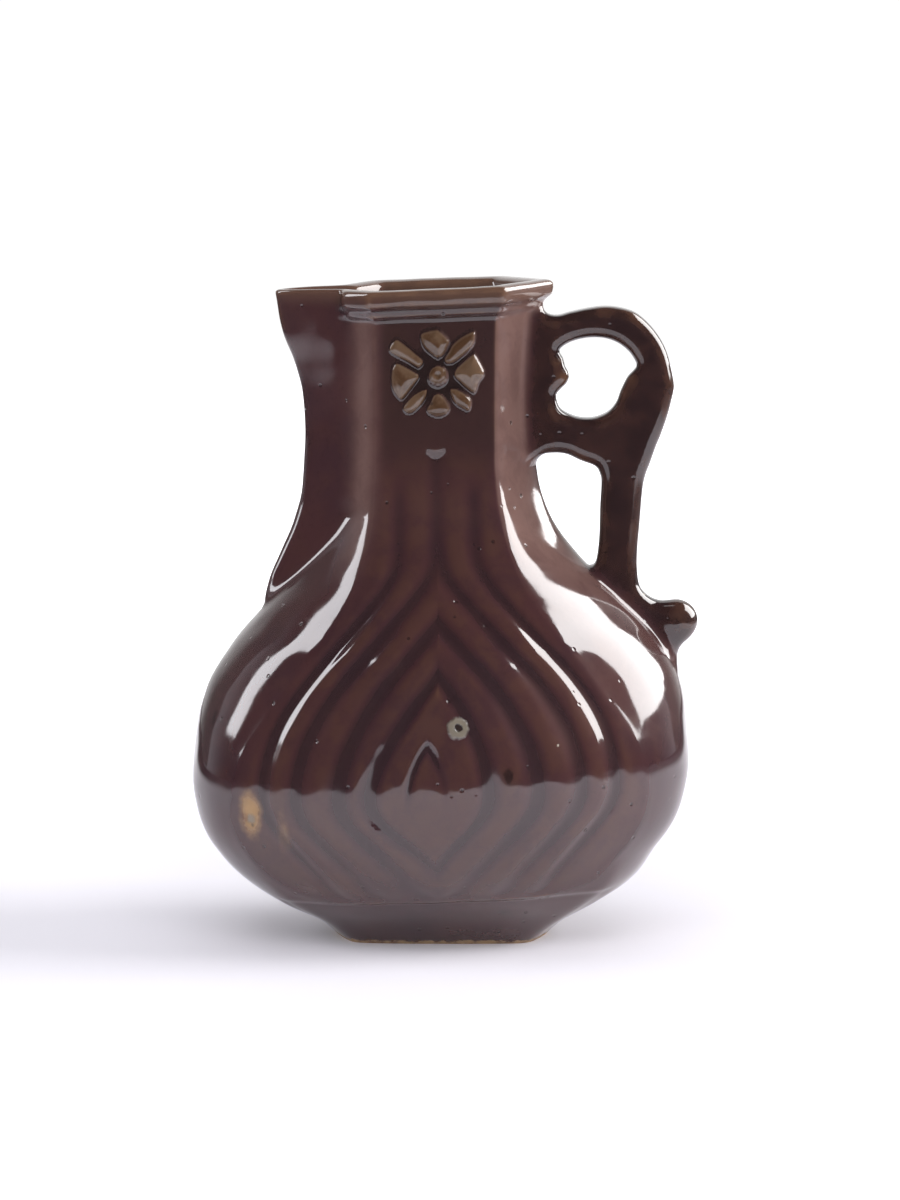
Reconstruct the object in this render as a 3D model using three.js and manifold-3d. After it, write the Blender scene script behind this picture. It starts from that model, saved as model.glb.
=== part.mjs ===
// A moulded, glazed pottery jug: a hexagonal neck that swells into a lobed belly,
// nested leaf-shaped flutes on both broad faces, a rosette under the lip,
// a keel-shaped spout (-X) and a flat branch handle with a knob (+X).
// Millimetres, +Z up. Origin: centre of the flat underside. The rosette faces -Y.
import * as THREE from "three";
import { mergeVertices } from "three/addons/utils/BufferGeometryUtils.js";
import Module from "manifold-3d";

// ---- driving dimensions -------------------------------------------------
const HEIGHT = 163.5; // rim plane on the axis
const WALL = 3.5; // wall measured across the clay
const FLOOR = 5.2; // clay under the inside floor
const RING_TILT = Math.tan((2.3 * Math.PI) / 180); // the fired body sags a little towards the spout
const NECK_LEAN = -1.1; // sideways drift of the neck
// Stations up the body: height, half width to the side vertex, half depth at the
// crown of the broad face, half width of the broad face, corner depth over half depth.
const STATIONS = [
  [0, 26.9, 16.3, 22.0, 0.93],
  [4.7, 32.0, 21.5, 26.3, 0.86],
  [12.2, 43.4, 33.0, 35.6, 0.74],
  [21.6, 54.0, 43.0, 44.5, 0.66],
  [34.4, 60.4, 49.5, 50.2, 0.62],
  [43, 61.8, 50.6, 51.2, 0.61],
  [55, 61.3, 49.5, 47.3, 0.64],
  [65.4, 58.8, 46.5, 40.0, 0.72],
  [75, 53.1, 42.0, 32.3, 0.82],
  [84, 45.2, 34.0, 25.0, 0.9],
  [93.6, 36.1, 26.0, 19.6, 0.955],
  [104.3, 28.9, 19.5, 16.6, 0.985],
  [113, 25.9, 17.0, 15.5, 0.99],
  [121, 24.7, 16.2, 15.0, 0.99],
  [132, 23.6, 16.0, 14.9, 0.99],
  [154, 24.9, 16.2, 15.0, 0.99],
  [164, 25.4, 16.4, 15.2, 0.99],
];
const SPOUT_SIDE_VERTEX = 30.5; // the neck's bevels run wider on the spout side
// Lip moulding: how far it stands out of the neck at each height.
const LIP = [
  [155.6, 0],
  [157.4, 1.3],
  [158.2, 1.5],
  [159.9, 3.0],
  [161.8, 3.3],
  [163.0, 3.0],
  [163.5, 2.0],
];
// Spout keel: height, reach of the nose, half width.
const SPOUT = [
  [82.5, 42.5, 3.0],
  [86, 45.6, 5.6],
  [91, 44.3, 7.3],
  [98, 40.7, 8.4],
  [106, 36.6, 8.8],
  [115, 33.9, 8.9],
  [126, 33.2, 8.9],
  [137, 34.0, 9.1],
  [145, 35.8, 9.4],
  [153, 38.7, 9.6],
  [163.5, 40.4, 9.8],
];
const SPOUT_BACK = 12; // the keel starts this far from the axis, inside the neck
const SPOUT_ROUND = 1.7; // roundness of its plan, 1 = V, 2 = ellipse
// Flutes: leaf-shaped contours round FLUTE_CENTRE on each broad face.
const FLUTE_CENTRE = 41.5; // height of the widest contour
const FLUTE_TOP = 123.7; // the fluted field ends under the rosette
const FLUTE_FOOT = 13.4; // and at a straight edge over the foot
const FLUTES = [12.3, 23.3, 34.5, 43.4]; // half widths of the grooves at the centre height
const FLUTE_RISE = { slope: 0.94, bend: 33 }; // how the contours close above
const FLUTE_FALL = { slope: 0.86, bend: 8 }; // and below
const LEAF = { shift: -2.6, half: 4.6, bend: 18 }; // the small leaf in the middle sits off centre
const GROOVE = { depth: 0.85, half: 2.4 };
const BORDER = [
  [14.0, 24],
  [14.7, 29.5],
  [20, 40.8],
  [25.4, 46.5],
  [30.7, 49.5],
  [38.4, 51.3],
  [43.5, 50.7],
  [53.5, 47],
  [63.3, 41],
  [75.4, 32],
  [87, 22.6],
  [99, 17.8],
  [108, 16],
];
// Rosette on the front of the neck.
const ROSETTE = { x: 0.5, z: 142.3, rise: 1.4, boss: 1.8 };
const PETALS = [
  [[-5, 0], [-10.3, 3.1], [-11.8, -0.2], [-10.4, -5.4], [-8.4, -5.2]], // left
  [[4.3, 0], [9.1, 4.7], [11.7, -0.2], [9.6, -4.6], [6.6, -3]], // right
  [[-4.1, 10], [0, 11.4], [2.8, 8.4], [0, 4.2], [-3.6, 7.2]], // top
  [[-1, -5.1], [1, -5.1], [3, -8.5], [0, -10.7], [-3, -8.5]], // foot
  [[-4, 3.9], [-4.8, 2.2], [-12.2, 6.4], [-10.6, 9.3]], // upper left
  [[1.7, 3.7], [3, 2.6], [9.4, 8], [8.9, 10.7], [5.3, 8.9]], // upper right
  [[-2.9, -3.7], [-3.6, -6.6], [-7, -9.5], [-8.7, -7.8]], // lower left
  [[3.2, -3.8], [4.2, -7.2], [7.6, -9.5], [8.3, -6.6], [5.6, -4.2]], // lower right
];
// Branch handle, a flat plate in the XZ plane: each stroke is x, z, half width.
const HANDLE_HALF = 4.7; // half thickness of the plate
const HANDLE_STROKES = [
  // arch from the neck over and down to the shoulder
  [
    [21.5, 148.5, 6.0],
    [27.5, 150.4, 5.4],
    [32, 152.7, 4.5],
    [37, 154.3, 4.1],
    [43, 154.5, 4.1],
    [48.6, 151.6, 4.3],
    [52.2, 146.4, 4.3],
    [53.5, 139.8, 4.5],
    [52.3, 131.5, 5.1],
    [49.2, 124.0, 5.9],
    [46.6, 118.0, 6.6],
    [45.3, 112.5, 5.5],
    [44.5, 105.5, 4.9],
    [43.6, 98.5, 4.7],
    [43.7, 91.5, 5.2],
    [46.0, 84.0, 6.5],
  ],
  // brace between the neck and the stem
  [
    [21.5, 127.5, 7.5],
    [27, 126.6, 5.4],
    [33, 125.4, 5.4],
    [40, 123.9, 6.2],
    [46, 121.5, 5.5],
  ],
  // web that fills the crook under the arch
  [
    [53.0, 142.0, 3.2],
    [50.4, 135.6, 4.4],
    [46.5, 129.6, 5.4],
    [40.5, 125.3, 5.3],
  ],
  // root along the shoulder, out to the knob
  [
    [40.5, 88.0, 4.0],
    [46.5, 85.0, 5.2],
    [51.5, 81.2, 5.0],
    [55.5, 79.6, 4.6],
    [58.6, 79.3, 4.4],
  ],
  // foot of the knob, dying into the belly
  [
    [57.4, 78.0, 4.6],
    [56.4, 73.5, 3.8],
    [56.6, 68.0, 2.0],
  ],
  // strip of clay that seals the handle to the neck's side arris
  [
    [24.6, 157.0, 2.2],
    [24.8, 150, 3.6],
    [24.4, 141, 3.9],
    [24.0, 132, 3.6],
    [24.2, 122.5, 2.0],
  ],
  // stub on the inside of the upper gap
  [
    [25.5, 141.9, 4.4],
    [28.6, 141.2, 3.2],
    [30.4, 140.6, 1.5],
  ],
];
const KNOB = { x: 58.7, z: 79.3, r: 5.0 };

// ---- interpolation ------------------------------------------------------
// Monotone cubic through (x, y) pairs.
function curve(xs, ys) {
  const n = xs.length,
    h = [],
    d = [],
    m = new Array(n).fill(0);
  for (let i = 0; i < n - 1; i++) {
    h[i] = xs[i + 1] - xs[i];
    d[i] = (ys[i + 1] - ys[i]) / h[i];
  }
  for (let i = 1; i < n - 1; i++)
    if (d[i - 1] * d[i] > 0) {
      const w1 = 2 * h[i] + h[i - 1],
        w2 = h[i] + 2 * h[i - 1];
      m[i] = (w1 + w2) / (w1 / d[i - 1] + w2 / d[i]);
    }
  m[0] = d[0];
  m[n - 1] = d[n - 2];
  return (x) => {
    x = Math.min(Math.max(x, xs[0]), xs[n - 1]);
    let i = n - 2;
    while (i > 0 && x < xs[i]) i--;
    const t = (x - xs[i]) / h[i],
      t2 = t * t,
      t3 = t2 * t;
    return (
      (2 * t3 - 3 * t2 + 1) * ys[i] +
      (t3 - 2 * t2 + t) * h[i] * m[i] +
      (3 * t2 - 2 * t3) * ys[i + 1] +
      (t3 - t2) * h[i] * m[i + 1]
    );
  };
}
const column = (table, k) =>
  curve(
    table.map((r) => r[0]),
    table.map((r) => r[k]),
  );
const sideAt = column(STATIONS, 1),
  crownAt = column(STATIONS, 2),
  cornerAt = column(STATIONS, 3),
  cornerDepthAt = column(STATIONS, 4),
  lipAt = column(LIP, 1),
  noseAt = column(SPOUT, 1),
  keelAt = column(SPOUT, 2),
  borderAt = column(BORDER, 1);
const smooth = (x, a, b) => {
  const t = Math.min(Math.max((x - a) / (b - a), 0), 1);
  return t * t * (3 - 2 * t);
};

// The sag and lean of the fired body, applied to every point of it but the handle.
function footSwell(x, z) {
  return smooth(z, 1, 9) * (1 - smooth(z, 11, 22)) * x * (x > 0 ? 0.095 : 0.024);
}
function settle(geometry) {
  const p = geometry.getAttribute("position");
  for (let i = 0; i < p.count; i++) {
    const x = p.getX(i),
      z = p.getZ(i);
    p.setXYZ(
      i,
      x + NECK_LEAN * smooth(z, 70, 120) + footSwell(x, z),
      p.getY(i),
      z + x * RING_TILT * smooth(z, 0, 14),
    );
  }
  return geometry;
}

// ---- plan section -------------------------------------------------------
// One quarter of the plan, from the middle of the broad face (u = 0) over the
// corner (u = 1) to the side vertex (u = 2). Returns [x, depth].
function quarter(u, z, inset, out, spoutSide) {
  const side0 = sideAt(z),
    k = cornerDepthAt(z);
  const wide = spoutSide
    ? Math.max(side0, SPOUT_SIDE_VERTEX * smooth(z, 92, 112))
    : side0;
  const bevel = Math.hypot(wide - cornerAt(z), k * crownAt(z)),
    turn = Math.atan2(k * crownAt(z), wide - cornerAt(z));
  const push = out - inset;
  const side = wide + (push * bevel) / (k * crownAt(z)),
    crown = crownAt(z) + push,
    corner = cornerAt(z) + push * Math.tan(turn / 2),
    depth = k * crownAt(z) + push;
  if (u <= 1) {
    const t = u;
    return [
      corner * t,
      depth + (crown - depth) * (1 - Math.pow(t, 2.1)),
    ];
  }
  const s = u - 1,
    dx = side - corner,
    dy = -depth,
    len = Math.hypot(dx, dy);
  const belly = smooth(z, 2, 30) * (1 - smooth(z, 84, 112)),
    bulge = 0.12 * len * belly * 4 * s * (1 - s);
  return [
    corner + dx * s + (-dy / len) * bulge,
    depth + dy * s + (dx / len) * bulge,
  ];
}
const FACE_STEPS = 6,
  BEVEL_STEPS = 4;
function planColumns(faceSteps, bevelSteps) {
  const u = [];
  for (let i = 0; i < faceSteps; i++) u.push(i / faceSteps);
  for (let i = 0; i <= bevelSteps; i++) u.push(1 + i / bevelSteps);
  const cols = [];
  // from +X round by +Y, -X, -Y
  for (let i = u.length - 1; i > 0; i--) cols.push([u[i], 1, 1]);
  for (let i = 0; i < u.length - 1; i++) cols.push([u[i], -1, 1]);
  for (let i = u.length - 1; i > 0; i--) cols.push([u[i], -1, -1]);
  for (let i = 0; i < u.length - 1; i++) cols.push([u[i], 1, -1]);
  return cols;
}
function planPoint([u, sx, sy], z, inset, out) {
  const [x, y] = quarter(u, z, inset, out, sx < 0);
  return [sx * x, sy * y];
}

// ---- meshes -------------------------------------------------------------
// Closed solid through a stack of rings with the same number of points.
function loft(rings) {
  const n = rings[0].length,
    pos = [],
    index = [];
  for (const ring of rings) for (const p of ring) pos.push(...p);
  for (let j = 0; j < rings.length - 1; j++)
    for (let i = 0; i < n; i++) {
      const a = j * n + i,
        b = j * n + ((i + 1) % n),
        c = a + n,
        d = b + n;
      index.push(a, b, d, a, d, c);
    }
  for (const [j, flip] of [
    [0, true],
    [rings.length - 1, false],
  ]) {
    const mid = pos.length / 3,
      c = [0, 0, 0];
    for (const p of rings[j]) for (let k = 0; k < 3; k++) c[k] += p[k] / n;
    pos.push(...c);
    for (let i = 0; i < n; i++) {
      const a = j * n + i,
        b = j * n + ((i + 1) % n);
      if (flip) index.push(b, a, mid);
      else index.push(a, b, mid);
    }
  }
  const g = new THREE.BufferGeometry();
  g.setAttribute("position", new THREE.Float32BufferAttribute(pos, 3));
  g.setIndex(index);
  return g;
}

const wasm = await Module();
wasm.setup();
function solid(geometry) {
  const g = geometry.index ? geometry.clone() : geometry;
  g.deleteAttribute("normal");
  g.deleteAttribute("uv");
  const m = mergeVertices(g, 1e-4);
  const made = new wasm.Manifold(
    new wasm.Mesh({
      numProp: 3,
      vertProperties: new Float32Array(m.attributes.position.array),
      triVerts: new Uint32Array(m.index.array),
    }),
  );
  if (made.volume() >= 0) return made;
  const flipped = new Uint32Array(m.index.array);
  for (let i = 0; i < flipped.length; i += 3)
    [flipped[i + 1], flipped[i + 2]] = [flipped[i + 2], flipped[i + 1]];
  return new wasm.Manifold(
    new wasm.Mesh({
      numProp: 3,
      vertProperties: new Float32Array(m.attributes.position.array),
      triVerts: flipped,
    }),
  );
}

// Outer body with the lip moulding.
const bodyHeights = [
  0, 2.5, 6.5, 12, 18.5, 26, 34.5, 44, 54, 63, 71, 78, 84.5, 91, 98, 106, 116,
  132, 155.6, 157.4, 158.2, 159.9, 162.6, 163.5,
];
const outerColumns = planColumns(FACE_STEPS, BEVEL_STEPS);
function bodyRing(columns, z, inset, out, at = z) {
  return columns.map((c) => [...planPoint(c, z, inset, out), at]);
}
const outer = solid(
  settle(
    loft(
      bodyHeights.map((z) =>
        bodyRing(outerColumns, z, 0, z > 155.6 ? lipAt(z) : 0),
      ),
    ),
  ),
);

// Spout keel: plan of the nose, closed across inside the neck.
function keelRing(z, reach, half, at = z, round = SPOUT_ROUND, back = SPOUT_BACK) {
  const ring = [],
    steps = 5,
    length = reach - back;
  for (let i = -steps; i <= steps; i++) {
    const f = Math.sign(i) * Math.pow(Math.abs(i) / steps, 1.15),
      ang = (f * Math.PI) / 2,
      cx = Math.pow(Math.abs(Math.cos(ang)), 2 / round),
      cy = Math.sign(ang) * Math.pow(Math.abs(Math.sin(ang)), 2 / round);
    ring.push([-(back + length * cx), half * cy, at]);
  }
  return ring;
}
const spout = solid(
  settle(
    loft([
      keelRing(78, 38, 1.2),
      ...SPOUT.map(([z]) => keelRing(z, noseAt(z), keelAt(z))),
    ]),
  ),
);

// Inside of the body: the same plan, one wall further in.
const innerHeights = [
  8.5, 14, 22, 34, 47, 60, 70, 79, 88, 97, 108, 124, 144, 164,
];
const innerColumns = planColumns(4, 2);
const slopeAt = (z) => (sideAt(z + 0.5) - sideAt(z - 0.5)) / 1;
const insetAt = (z) => WALL * Math.min(Math.hypot(1, slopeAt(z)), 2);
function innerRing(z, share = 1, at = z) {
  return bodyRing(innerColumns, z, insetAt(z), 0, at).map(([x, y, h]) => [
    x * share,
    y * share,
    h,
  ]);
}
const hollow = solid(
  settle(
    loft([
      innerRing(8.5, 0.7, FLOOR),
      innerRing(8.5, 0.9, FLOOR + 0.7),
      ...innerHeights.map((z) => innerRing(z)),
      innerRing(163.5, 1, 172),
    ]),
  ),
);
const channel = solid(
  settle(
    loft([
      keelRing(93, 33, 2.0, 91, 2, 6),
      keelRing(96, 36.5, 4.0, 95, 2, 6),
      ...[99, 106, 115, 126, 137, 145, 153, 163.5].map(
        (z) => keelRing(z, noseAt(z) - 4.2, keelAt(z) - 3.0, z, 1.8, 6),
      ),
      keelRing(163.5, noseAt(163.5) - 4.2, keelAt(163.5) - 3.0, 172, 1.8, 6),
    ]),
  ),
);

// ---- flutes -------------------------------------------------------------
// Depth of the broad face at half width x and height z.
function faceDepth(x, z) {
  const depth = cornerDepthAt(z) * crownAt(z),
    t = Math.min(Math.abs(x) / cornerAt(z), 1.02);
  return depth + (crownAt(z) - depth) * (1 - Math.pow(t, 2.1));
}
const bendTerm = (t, bend) =>
  t < bend ? (t * t) / (2 * bend) : t - bend / 2;
function contour(x, z, rise = FLUTE_RISE.bend) {
  const t = z - FLUTE_CENTRE;
  return (
    x +
    (t > 0
      ? FLUTE_RISE.slope * bendTerm(t, rise)
      : FLUTE_FALL.slope * bendTerm(-t, FLUTE_FALL.bend))
  );
}
// Up the neck the contours turn into straight vertical flutes.
function flutePotential(x, z) {
  const leafy = contour(x, z),
    neck = FLUTES[2] + 0.96 * x,
    blend = 2;
  return -blend * Math.log(Math.exp(-leafy / blend) + Math.exp(-neck / blend));
}
function fluteHalfWidth(level, z) {
  let lo = 0,
    hi = 70;
  if (flutePotential(0, z) >= level) return 0;
  for (let i = 0; i < 40; i++) {
    const mid = (lo + hi) / 2;
    if (flutePotential(mid, z) < level) lo = mid;
    else hi = mid;
  }
  return lo;
}
// Wedge that cuts a V groove along points [x, z] of a broad face (facing = -1 front, 1 back).
function groove(points, facing, depth, half, fade = 0) {
  const at = (x, z) =>
    new THREE.Vector3(x, facing * faceDepth(x, z), z);
  const rings = points.map(([x, z], i) => {
    const [x0, z0] = points[Math.max(i - 1, 0)],
      [x1, z1] = points[Math.min(i + 1, points.length - 1)];
    const p = at(x, z),
      along = at(x1, z1).sub(at(x0, z0)).normalize();
    const ex = at(x + 0.3, z).sub(at(x - 0.3, z)),
      ez = at(x, z + 0.3).sub(at(x, z - 0.3));
    const normal = ex.cross(ez).normalize();
    if (normal.y * facing < 0) normal.negate();
    const across = along.clone().cross(normal).normalize();
    const edge = Math.min(i, points.length - 1 - i),
      share = edge < fade ? (edge + 0.4) / (fade + 0.4) : 1,
      d = depth * share,
      lift = 1.1,
      w = half * (1 + lift / depth);
    return [
      p.clone().addScaledVector(normal, -d),
      p.clone().addScaledVector(normal, lift).addScaledVector(across, w * share),
      p.clone().addScaledVector(normal, lift).addScaledVector(across, -w * share),
    ].map((v) => v.toArray());
  });
  return solid(settle(loft(rings)));
}
// The back is plainer: it leaves out the smallest contour and the leaf.
function fluteLines(facing) {
  const lines = [];
  for (const level of facing < 0 ? FLUTES : FLUTES.slice(1)) {
    const run = [];
    const steps = 10;
    // heights where this contour leaves the middle line
    let low = FLUTE_FOOT,
      high = FLUTE_TOP;
    const closes = (z) => fluteHalfWidth(level, z) < 0.5;
    while (closes(low) && low < FLUTE_CENTRE) low += 0.25;
    while (closes(high) && high > FLUTE_CENTRE) high -= 0.25;
    const stem = high < FLUTE_TOP && level === FLUTES[2] ? high : null;
    const bottomApex = low > FLUTE_FOOT;
    if (bottomApex) run.push([-0.5, low - 0.5]);
    for (let i = 0; i <= steps; i++) {
      const z = low + ((high - low) * i) / steps;
      run.push([fluteHalfWidth(level, z), z]);
    }
    if (high < FLUTE_TOP) run.push([-0.5, high + 0.7]);
    lines.push(run, run.map(([x, z]) => [-x, z]));
    if (stem)
      lines.push(
        [0, 0.25, 0.5, 0.75, 1].map((t) => [0, stem - 1 + (FLUTE_TOP - stem + 1) * t]),
      );
  }
  return lines;
}
function leafLine() {
  // closed little leaf in the middle, left and right edge
  const top = Math.sqrt((LEAF.half * 2 * LEAF.bend) / FLUTE_RISE.slope),
    foot = LEAF.half / FLUTE_FALL.slope + FLUTE_FALL.bend / 2,
    out = [];
  for (const s of [1, -1]) {
    const run = [];
    for (let i = 0; i <= 6; i++) {
      const z = FLUTE_CENTRE - foot + ((top + foot) * i) / 6;
      const w = LEAF.half - contour(0, z, LEAF.bend);
      run.push([LEAF.shift + s * Math.max(w, -0.3), z]);
    }
    out.push(run);
  }
  return out;
}
function borderLines() {
  const right = [];
  for (let i = 0; i <= 12; i++) {
    const t = i / 12,
      z = 14.0 + 94 * Math.pow(t, 1.3);
    right.push([borderAt(z), z]);
  }
  const foot = [];
  for (let i = 0; i <= 4; i++) foot.push([-25 + (50 * i) / 4, FLUTE_FOOT + 0.2]);
  return [right, right.map(([x, z]) => [-x, z]), foot];
}

// ---- rosette ------------------------------------------------------------
function petal(points) {
  const cx = points.reduce((s, p) => s + p[0], 0) / points.length,
    cz = points.reduce((s, p) => s + p[1], 0) / points.length;
  // round the outline with a closed curve
  const outline = new THREE.CatmullRomCurve3(
    points.map(([x, z]) => new THREE.Vector3(x, 0, z)),
    true,
    "catmullrom",
    0.35,
  ).getPoints(7);
  outline.pop();
  const ring = (share, rise) =>
    outline.map((p) => [
      ROSETTE.x + cx + (p.x - cx) * share,
      -(faceDepth(0, ROSETTE.z) + rise),
      ROSETTE.z + cz + (p.z - cz) * share,
    ]);
  return solid(
    settle(loft([ring(1.04, -0.8), ring(1.0, 0.25), ring(0.72, ROSETTE.rise)])),
  );
}
function boss() {
  const ring = (r, rise) => {
    const out = [];
    for (let i = 0; i < 10; i++) {
      const a = (2 * Math.PI * i) / 10;
      out.push([
        ROSETTE.x + r * Math.cos(a),
        -(faceDepth(0, ROSETTE.z) + rise),
        ROSETTE.z + r * Math.sin(a),
      ]);
    }
    return out;
  };
  return solid(
    settle(
      loft([
        ring(ROSETTE.boss + 0.3, -0.8),
        ring(ROSETTE.boss + 0.2, 0.2),
        ring(ROSETTE.boss - 0.4, 1.2),
        ring(0.9, 1.2),
        ring(0.5, 0.6),
      ]),
    ),
  );
}

// ---- handle -------------------------------------------------------------
// A stroke is swept as a flat, round-edged bar: wide in the XZ plane, HANDLE_HALF thick.
function bar(stroke, thick = HANDLE_HALF, sides = 8) {
  const path = new THREE.CatmullRomCurve3(
      stroke.map(([x, z]) => new THREE.Vector3(x, 0, z)),
      false,
      "centripetal",
    ),
    steps = Math.round((stroke.length - 1) * (stroke.length > 8 ? 1.2 : 1));
  const rings = [];
  for (let j = 0; j <= steps; j++) {
    const t = j / steps,
      f = t * (stroke.length - 1),
      i = Math.min(Math.floor(f), stroke.length - 2),
      half = stroke[i][2] + (stroke[i + 1][2] - stroke[i][2]) * (f - i);
    const p = path.getPoint(t),
      d = path.getTangent(t);
    const nx = -d.z,
      nz = d.x,
      ring = [];
    for (let k = 0; k < sides; k++) {
      const a = (2 * Math.PI * (k + 0.5)) / sides,
        e = 2 / 2.8,
        c = Math.sign(Math.cos(a)) * Math.pow(Math.abs(Math.cos(a)), e),
        s = Math.sign(Math.sin(a)) * Math.pow(Math.abs(Math.sin(a)), e);
      ring.push([p.x + nx * half * c, thick * s, p.z + nz * half * c]);
    }
    rings.push(ring);
  }
  return solid(loft(rings));
}
const knobGeometry = new THREE.SphereGeometry(KNOB.r, 12, 8).translate(
  KNOB.x,
  0,
  KNOB.z,
);

// ---- assembly -----------------------------------------------------------
let jug = outer.add(spout);
for (const stroke of HANDLE_STROKES)
  jug = jug.add(bar(stroke, stroke.length === 3 ? 3.0 : HANDLE_HALF));
jug = jug.add(solid(knobGeometry));
jug = jug.subtract(hollow.add(channel));
for (const facing of [-1, 1]) {
  for (const run of fluteLines(facing))
    jug = jug.subtract(groove(run, facing, GROOVE.depth, GROOVE.half, 1));
  for (const run of borderLines())
    jug = jug.subtract(groove(run, facing, GROOVE.depth, GROOVE.half, 2));
}
for (const run of leafLine())
  jug = jug.subtract(groove(run, -1, GROOVE.depth, 1.3, 1));
jug = jug.add(boss());
for (const points of PETALS) jug = jug.add(petal(points));

// The groove cutters can leave loose crumbs at the corners: only the jug is kept.
jug = jug.decompose().sort((p, q) => q.volume() - p.volume())[0];

const result = jug.getMesh();
const geometry = new THREE.BufferGeometry();
geometry.setAttribute(
  "position",
  new THREE.BufferAttribute(new Float32Array(result.vertProperties), 3),
);
geometry.setIndex(new THREE.BufferAttribute(new Uint32Array(result.triVerts), 1));
geometry.computeVertexNormals();

const mesh = new THREE.Mesh(
  geometry,
  new THREE.MeshStandardMaterial({
    color: 0x4e3533,
    roughness: 0.16,
    metalness: 0,
  }),
);
mesh.name = "jug";

const group = new THREE.Group();
group.add(mesh);
export default group;
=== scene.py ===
import math

import bpy
import numpy as np
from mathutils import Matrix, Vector


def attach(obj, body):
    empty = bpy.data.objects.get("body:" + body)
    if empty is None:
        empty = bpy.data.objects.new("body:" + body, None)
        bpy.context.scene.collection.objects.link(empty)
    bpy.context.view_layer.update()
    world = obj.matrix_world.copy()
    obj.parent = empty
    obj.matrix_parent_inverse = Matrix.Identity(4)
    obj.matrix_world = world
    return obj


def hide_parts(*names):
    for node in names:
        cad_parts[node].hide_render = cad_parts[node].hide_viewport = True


# A moulded, glazed pottery jug. All lengths below are millimetres until the
# meshes are made, where they become metres. +X is the handle side, -X the
# spout, -Y the broad face with the rosette, origin in the middle of the foot.
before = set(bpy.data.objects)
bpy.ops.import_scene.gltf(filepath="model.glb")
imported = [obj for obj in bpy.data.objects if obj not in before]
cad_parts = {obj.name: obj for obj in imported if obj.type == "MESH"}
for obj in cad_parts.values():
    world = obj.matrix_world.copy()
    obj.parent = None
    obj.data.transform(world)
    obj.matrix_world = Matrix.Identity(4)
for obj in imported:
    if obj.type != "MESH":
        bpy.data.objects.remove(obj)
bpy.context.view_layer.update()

# ---------------------------------------------------------------- sizes
HEIGHT = 163.5
WALL = 3.5
FLOOR = 5.2
RING_TILT = math.tan(math.radians(2.3))
NECK_LEAN = -1.1
# height, half width to the side vertex, half depth at the crown of the broad
# face, half width of the broad face, corner depth over half depth
STATIONS = np.array([
    [0, 26.9, 16.3, 22.0, 0.93],
    [4.7, 32.0, 21.5, 26.3, 0.86],
    [12.2, 43.4, 33.0, 35.6, 0.74],
    [21.6, 54.0, 43.0, 44.5, 0.66],
    [34.4, 60.4, 49.5, 50.2, 0.62],
    [43, 61.8, 50.6, 51.2, 0.61],
    [55, 61.3, 49.5, 47.3, 0.64],
    [65.4, 58.8, 46.5, 40.0, 0.72],
    [75, 53.1, 42.0, 32.3, 0.82],
    [84, 45.2, 34.0, 25.0, 0.90],
    [93.6, 36.1, 26.0, 19.6, 0.955],
    [104.3, 28.9, 19.5, 16.6, 0.985],
    [113, 25.9, 17.0, 15.5, 0.99],
    [121, 24.7, 16.2, 15.0, 0.99],
    [132, 23.6, 16.0, 14.9, 0.99],
    [154, 24.9, 16.2, 15.0, 0.99],
    [164, 25.4, 16.4, 15.2, 0.99],
])
SPOUT_SIDE_VERTEX = 30.5
LIP = np.array([
    [155.2, 0], [155.9, 0.15], [156.6, 0.7], [157.3, 1.25], [157.9, 1.45], [158.4, 1.65],
    [159.1, 2.3], [159.8, 2.95], [160.4, 3.15], [161.6, 3.25], [162.6, 3.15],
])
SPOUT = np.array([
    [80.0, 41.0, 1.5], [83.0, 44.2, 3.4], [86, 45.6, 5.6], [91, 44.3, 7.3], [98, 40.7, 8.4],
    [106, 36.6, 8.8], [115, 33.9, 8.9], [126, 33.2, 8.9], [137, 34.0, 9.1], [145, 35.8, 9.4],
    [153, 38.7, 9.6], [163.5, 40.4, 9.8],
])
SPOUT_BACK = 12.0
SPOUT_ROUND = 1.7
# flutes
FLUTE_CENTRE = 41.5
FLUTE_TOP = 123.7
FLUTE_FOOT = 13.4
FLUTES = [12.3, 23.3, 34.5, 43.4]
LEAF_SHIFT, LEAF_HALF, LEAF_BEND = -2.6, 4.6, 18.0
GROOVE_DEPTH = 0.95
BORDER = np.array([
    [11.0, 10], [12.5, 14], [13.4, 20], [14.7, 29.5], [20, 40.8], [25.4, 46.5], [30.7, 49.5], [38.4, 51.3],
    [43.5, 50.9], [53.5, 47.2], [63.3, 40.8], [75.4, 32], [87, 23.2], [99, 18.0], [111.5, 15.6], [121, 15.0], [165, 15.2],
])
# rosette
ROSETTE_X, ROSETTE_Z = 0.5, 142.3
HANDLE_HALF = 4.7


# ---------------------------------------------------------------- curves
def curve(xs, ys):
    """Monotone cubic through the points."""
    xs = np.asarray(xs, float)
    ys = np.asarray(ys, float)
    h = np.diff(xs)
    d = np.diff(ys) / h
    m = np.zeros_like(ys)
    for i in range(1, len(xs) - 1):
        if d[i - 1] * d[i] > 0:
            w1, w2 = 2 * h[i] + h[i - 1], h[i] + 2 * h[i - 1]
            m[i] = (w1 + w2) / (w1 / d[i - 1] + w2 / d[i])
    m[0], m[-1] = d[0], d[-1]

    def f(x):
        x = np.clip(np.asarray(x, float), xs[0], xs[-1])
        i = np.clip(np.searchsorted(xs, x, side="right") - 1, 0, len(xs) - 2)
        t = (x - xs[i]) / h[i]
        return ((2 * t**3 - 3 * t**2 + 1) * ys[i] + (t**3 - 2 * t**2 + t) * h[i] * m[i]
                + (3 * t**2 - 2 * t**3) * ys[i + 1] + (t**3 - t**2) * h[i] * m[i + 1])
    return f


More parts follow.
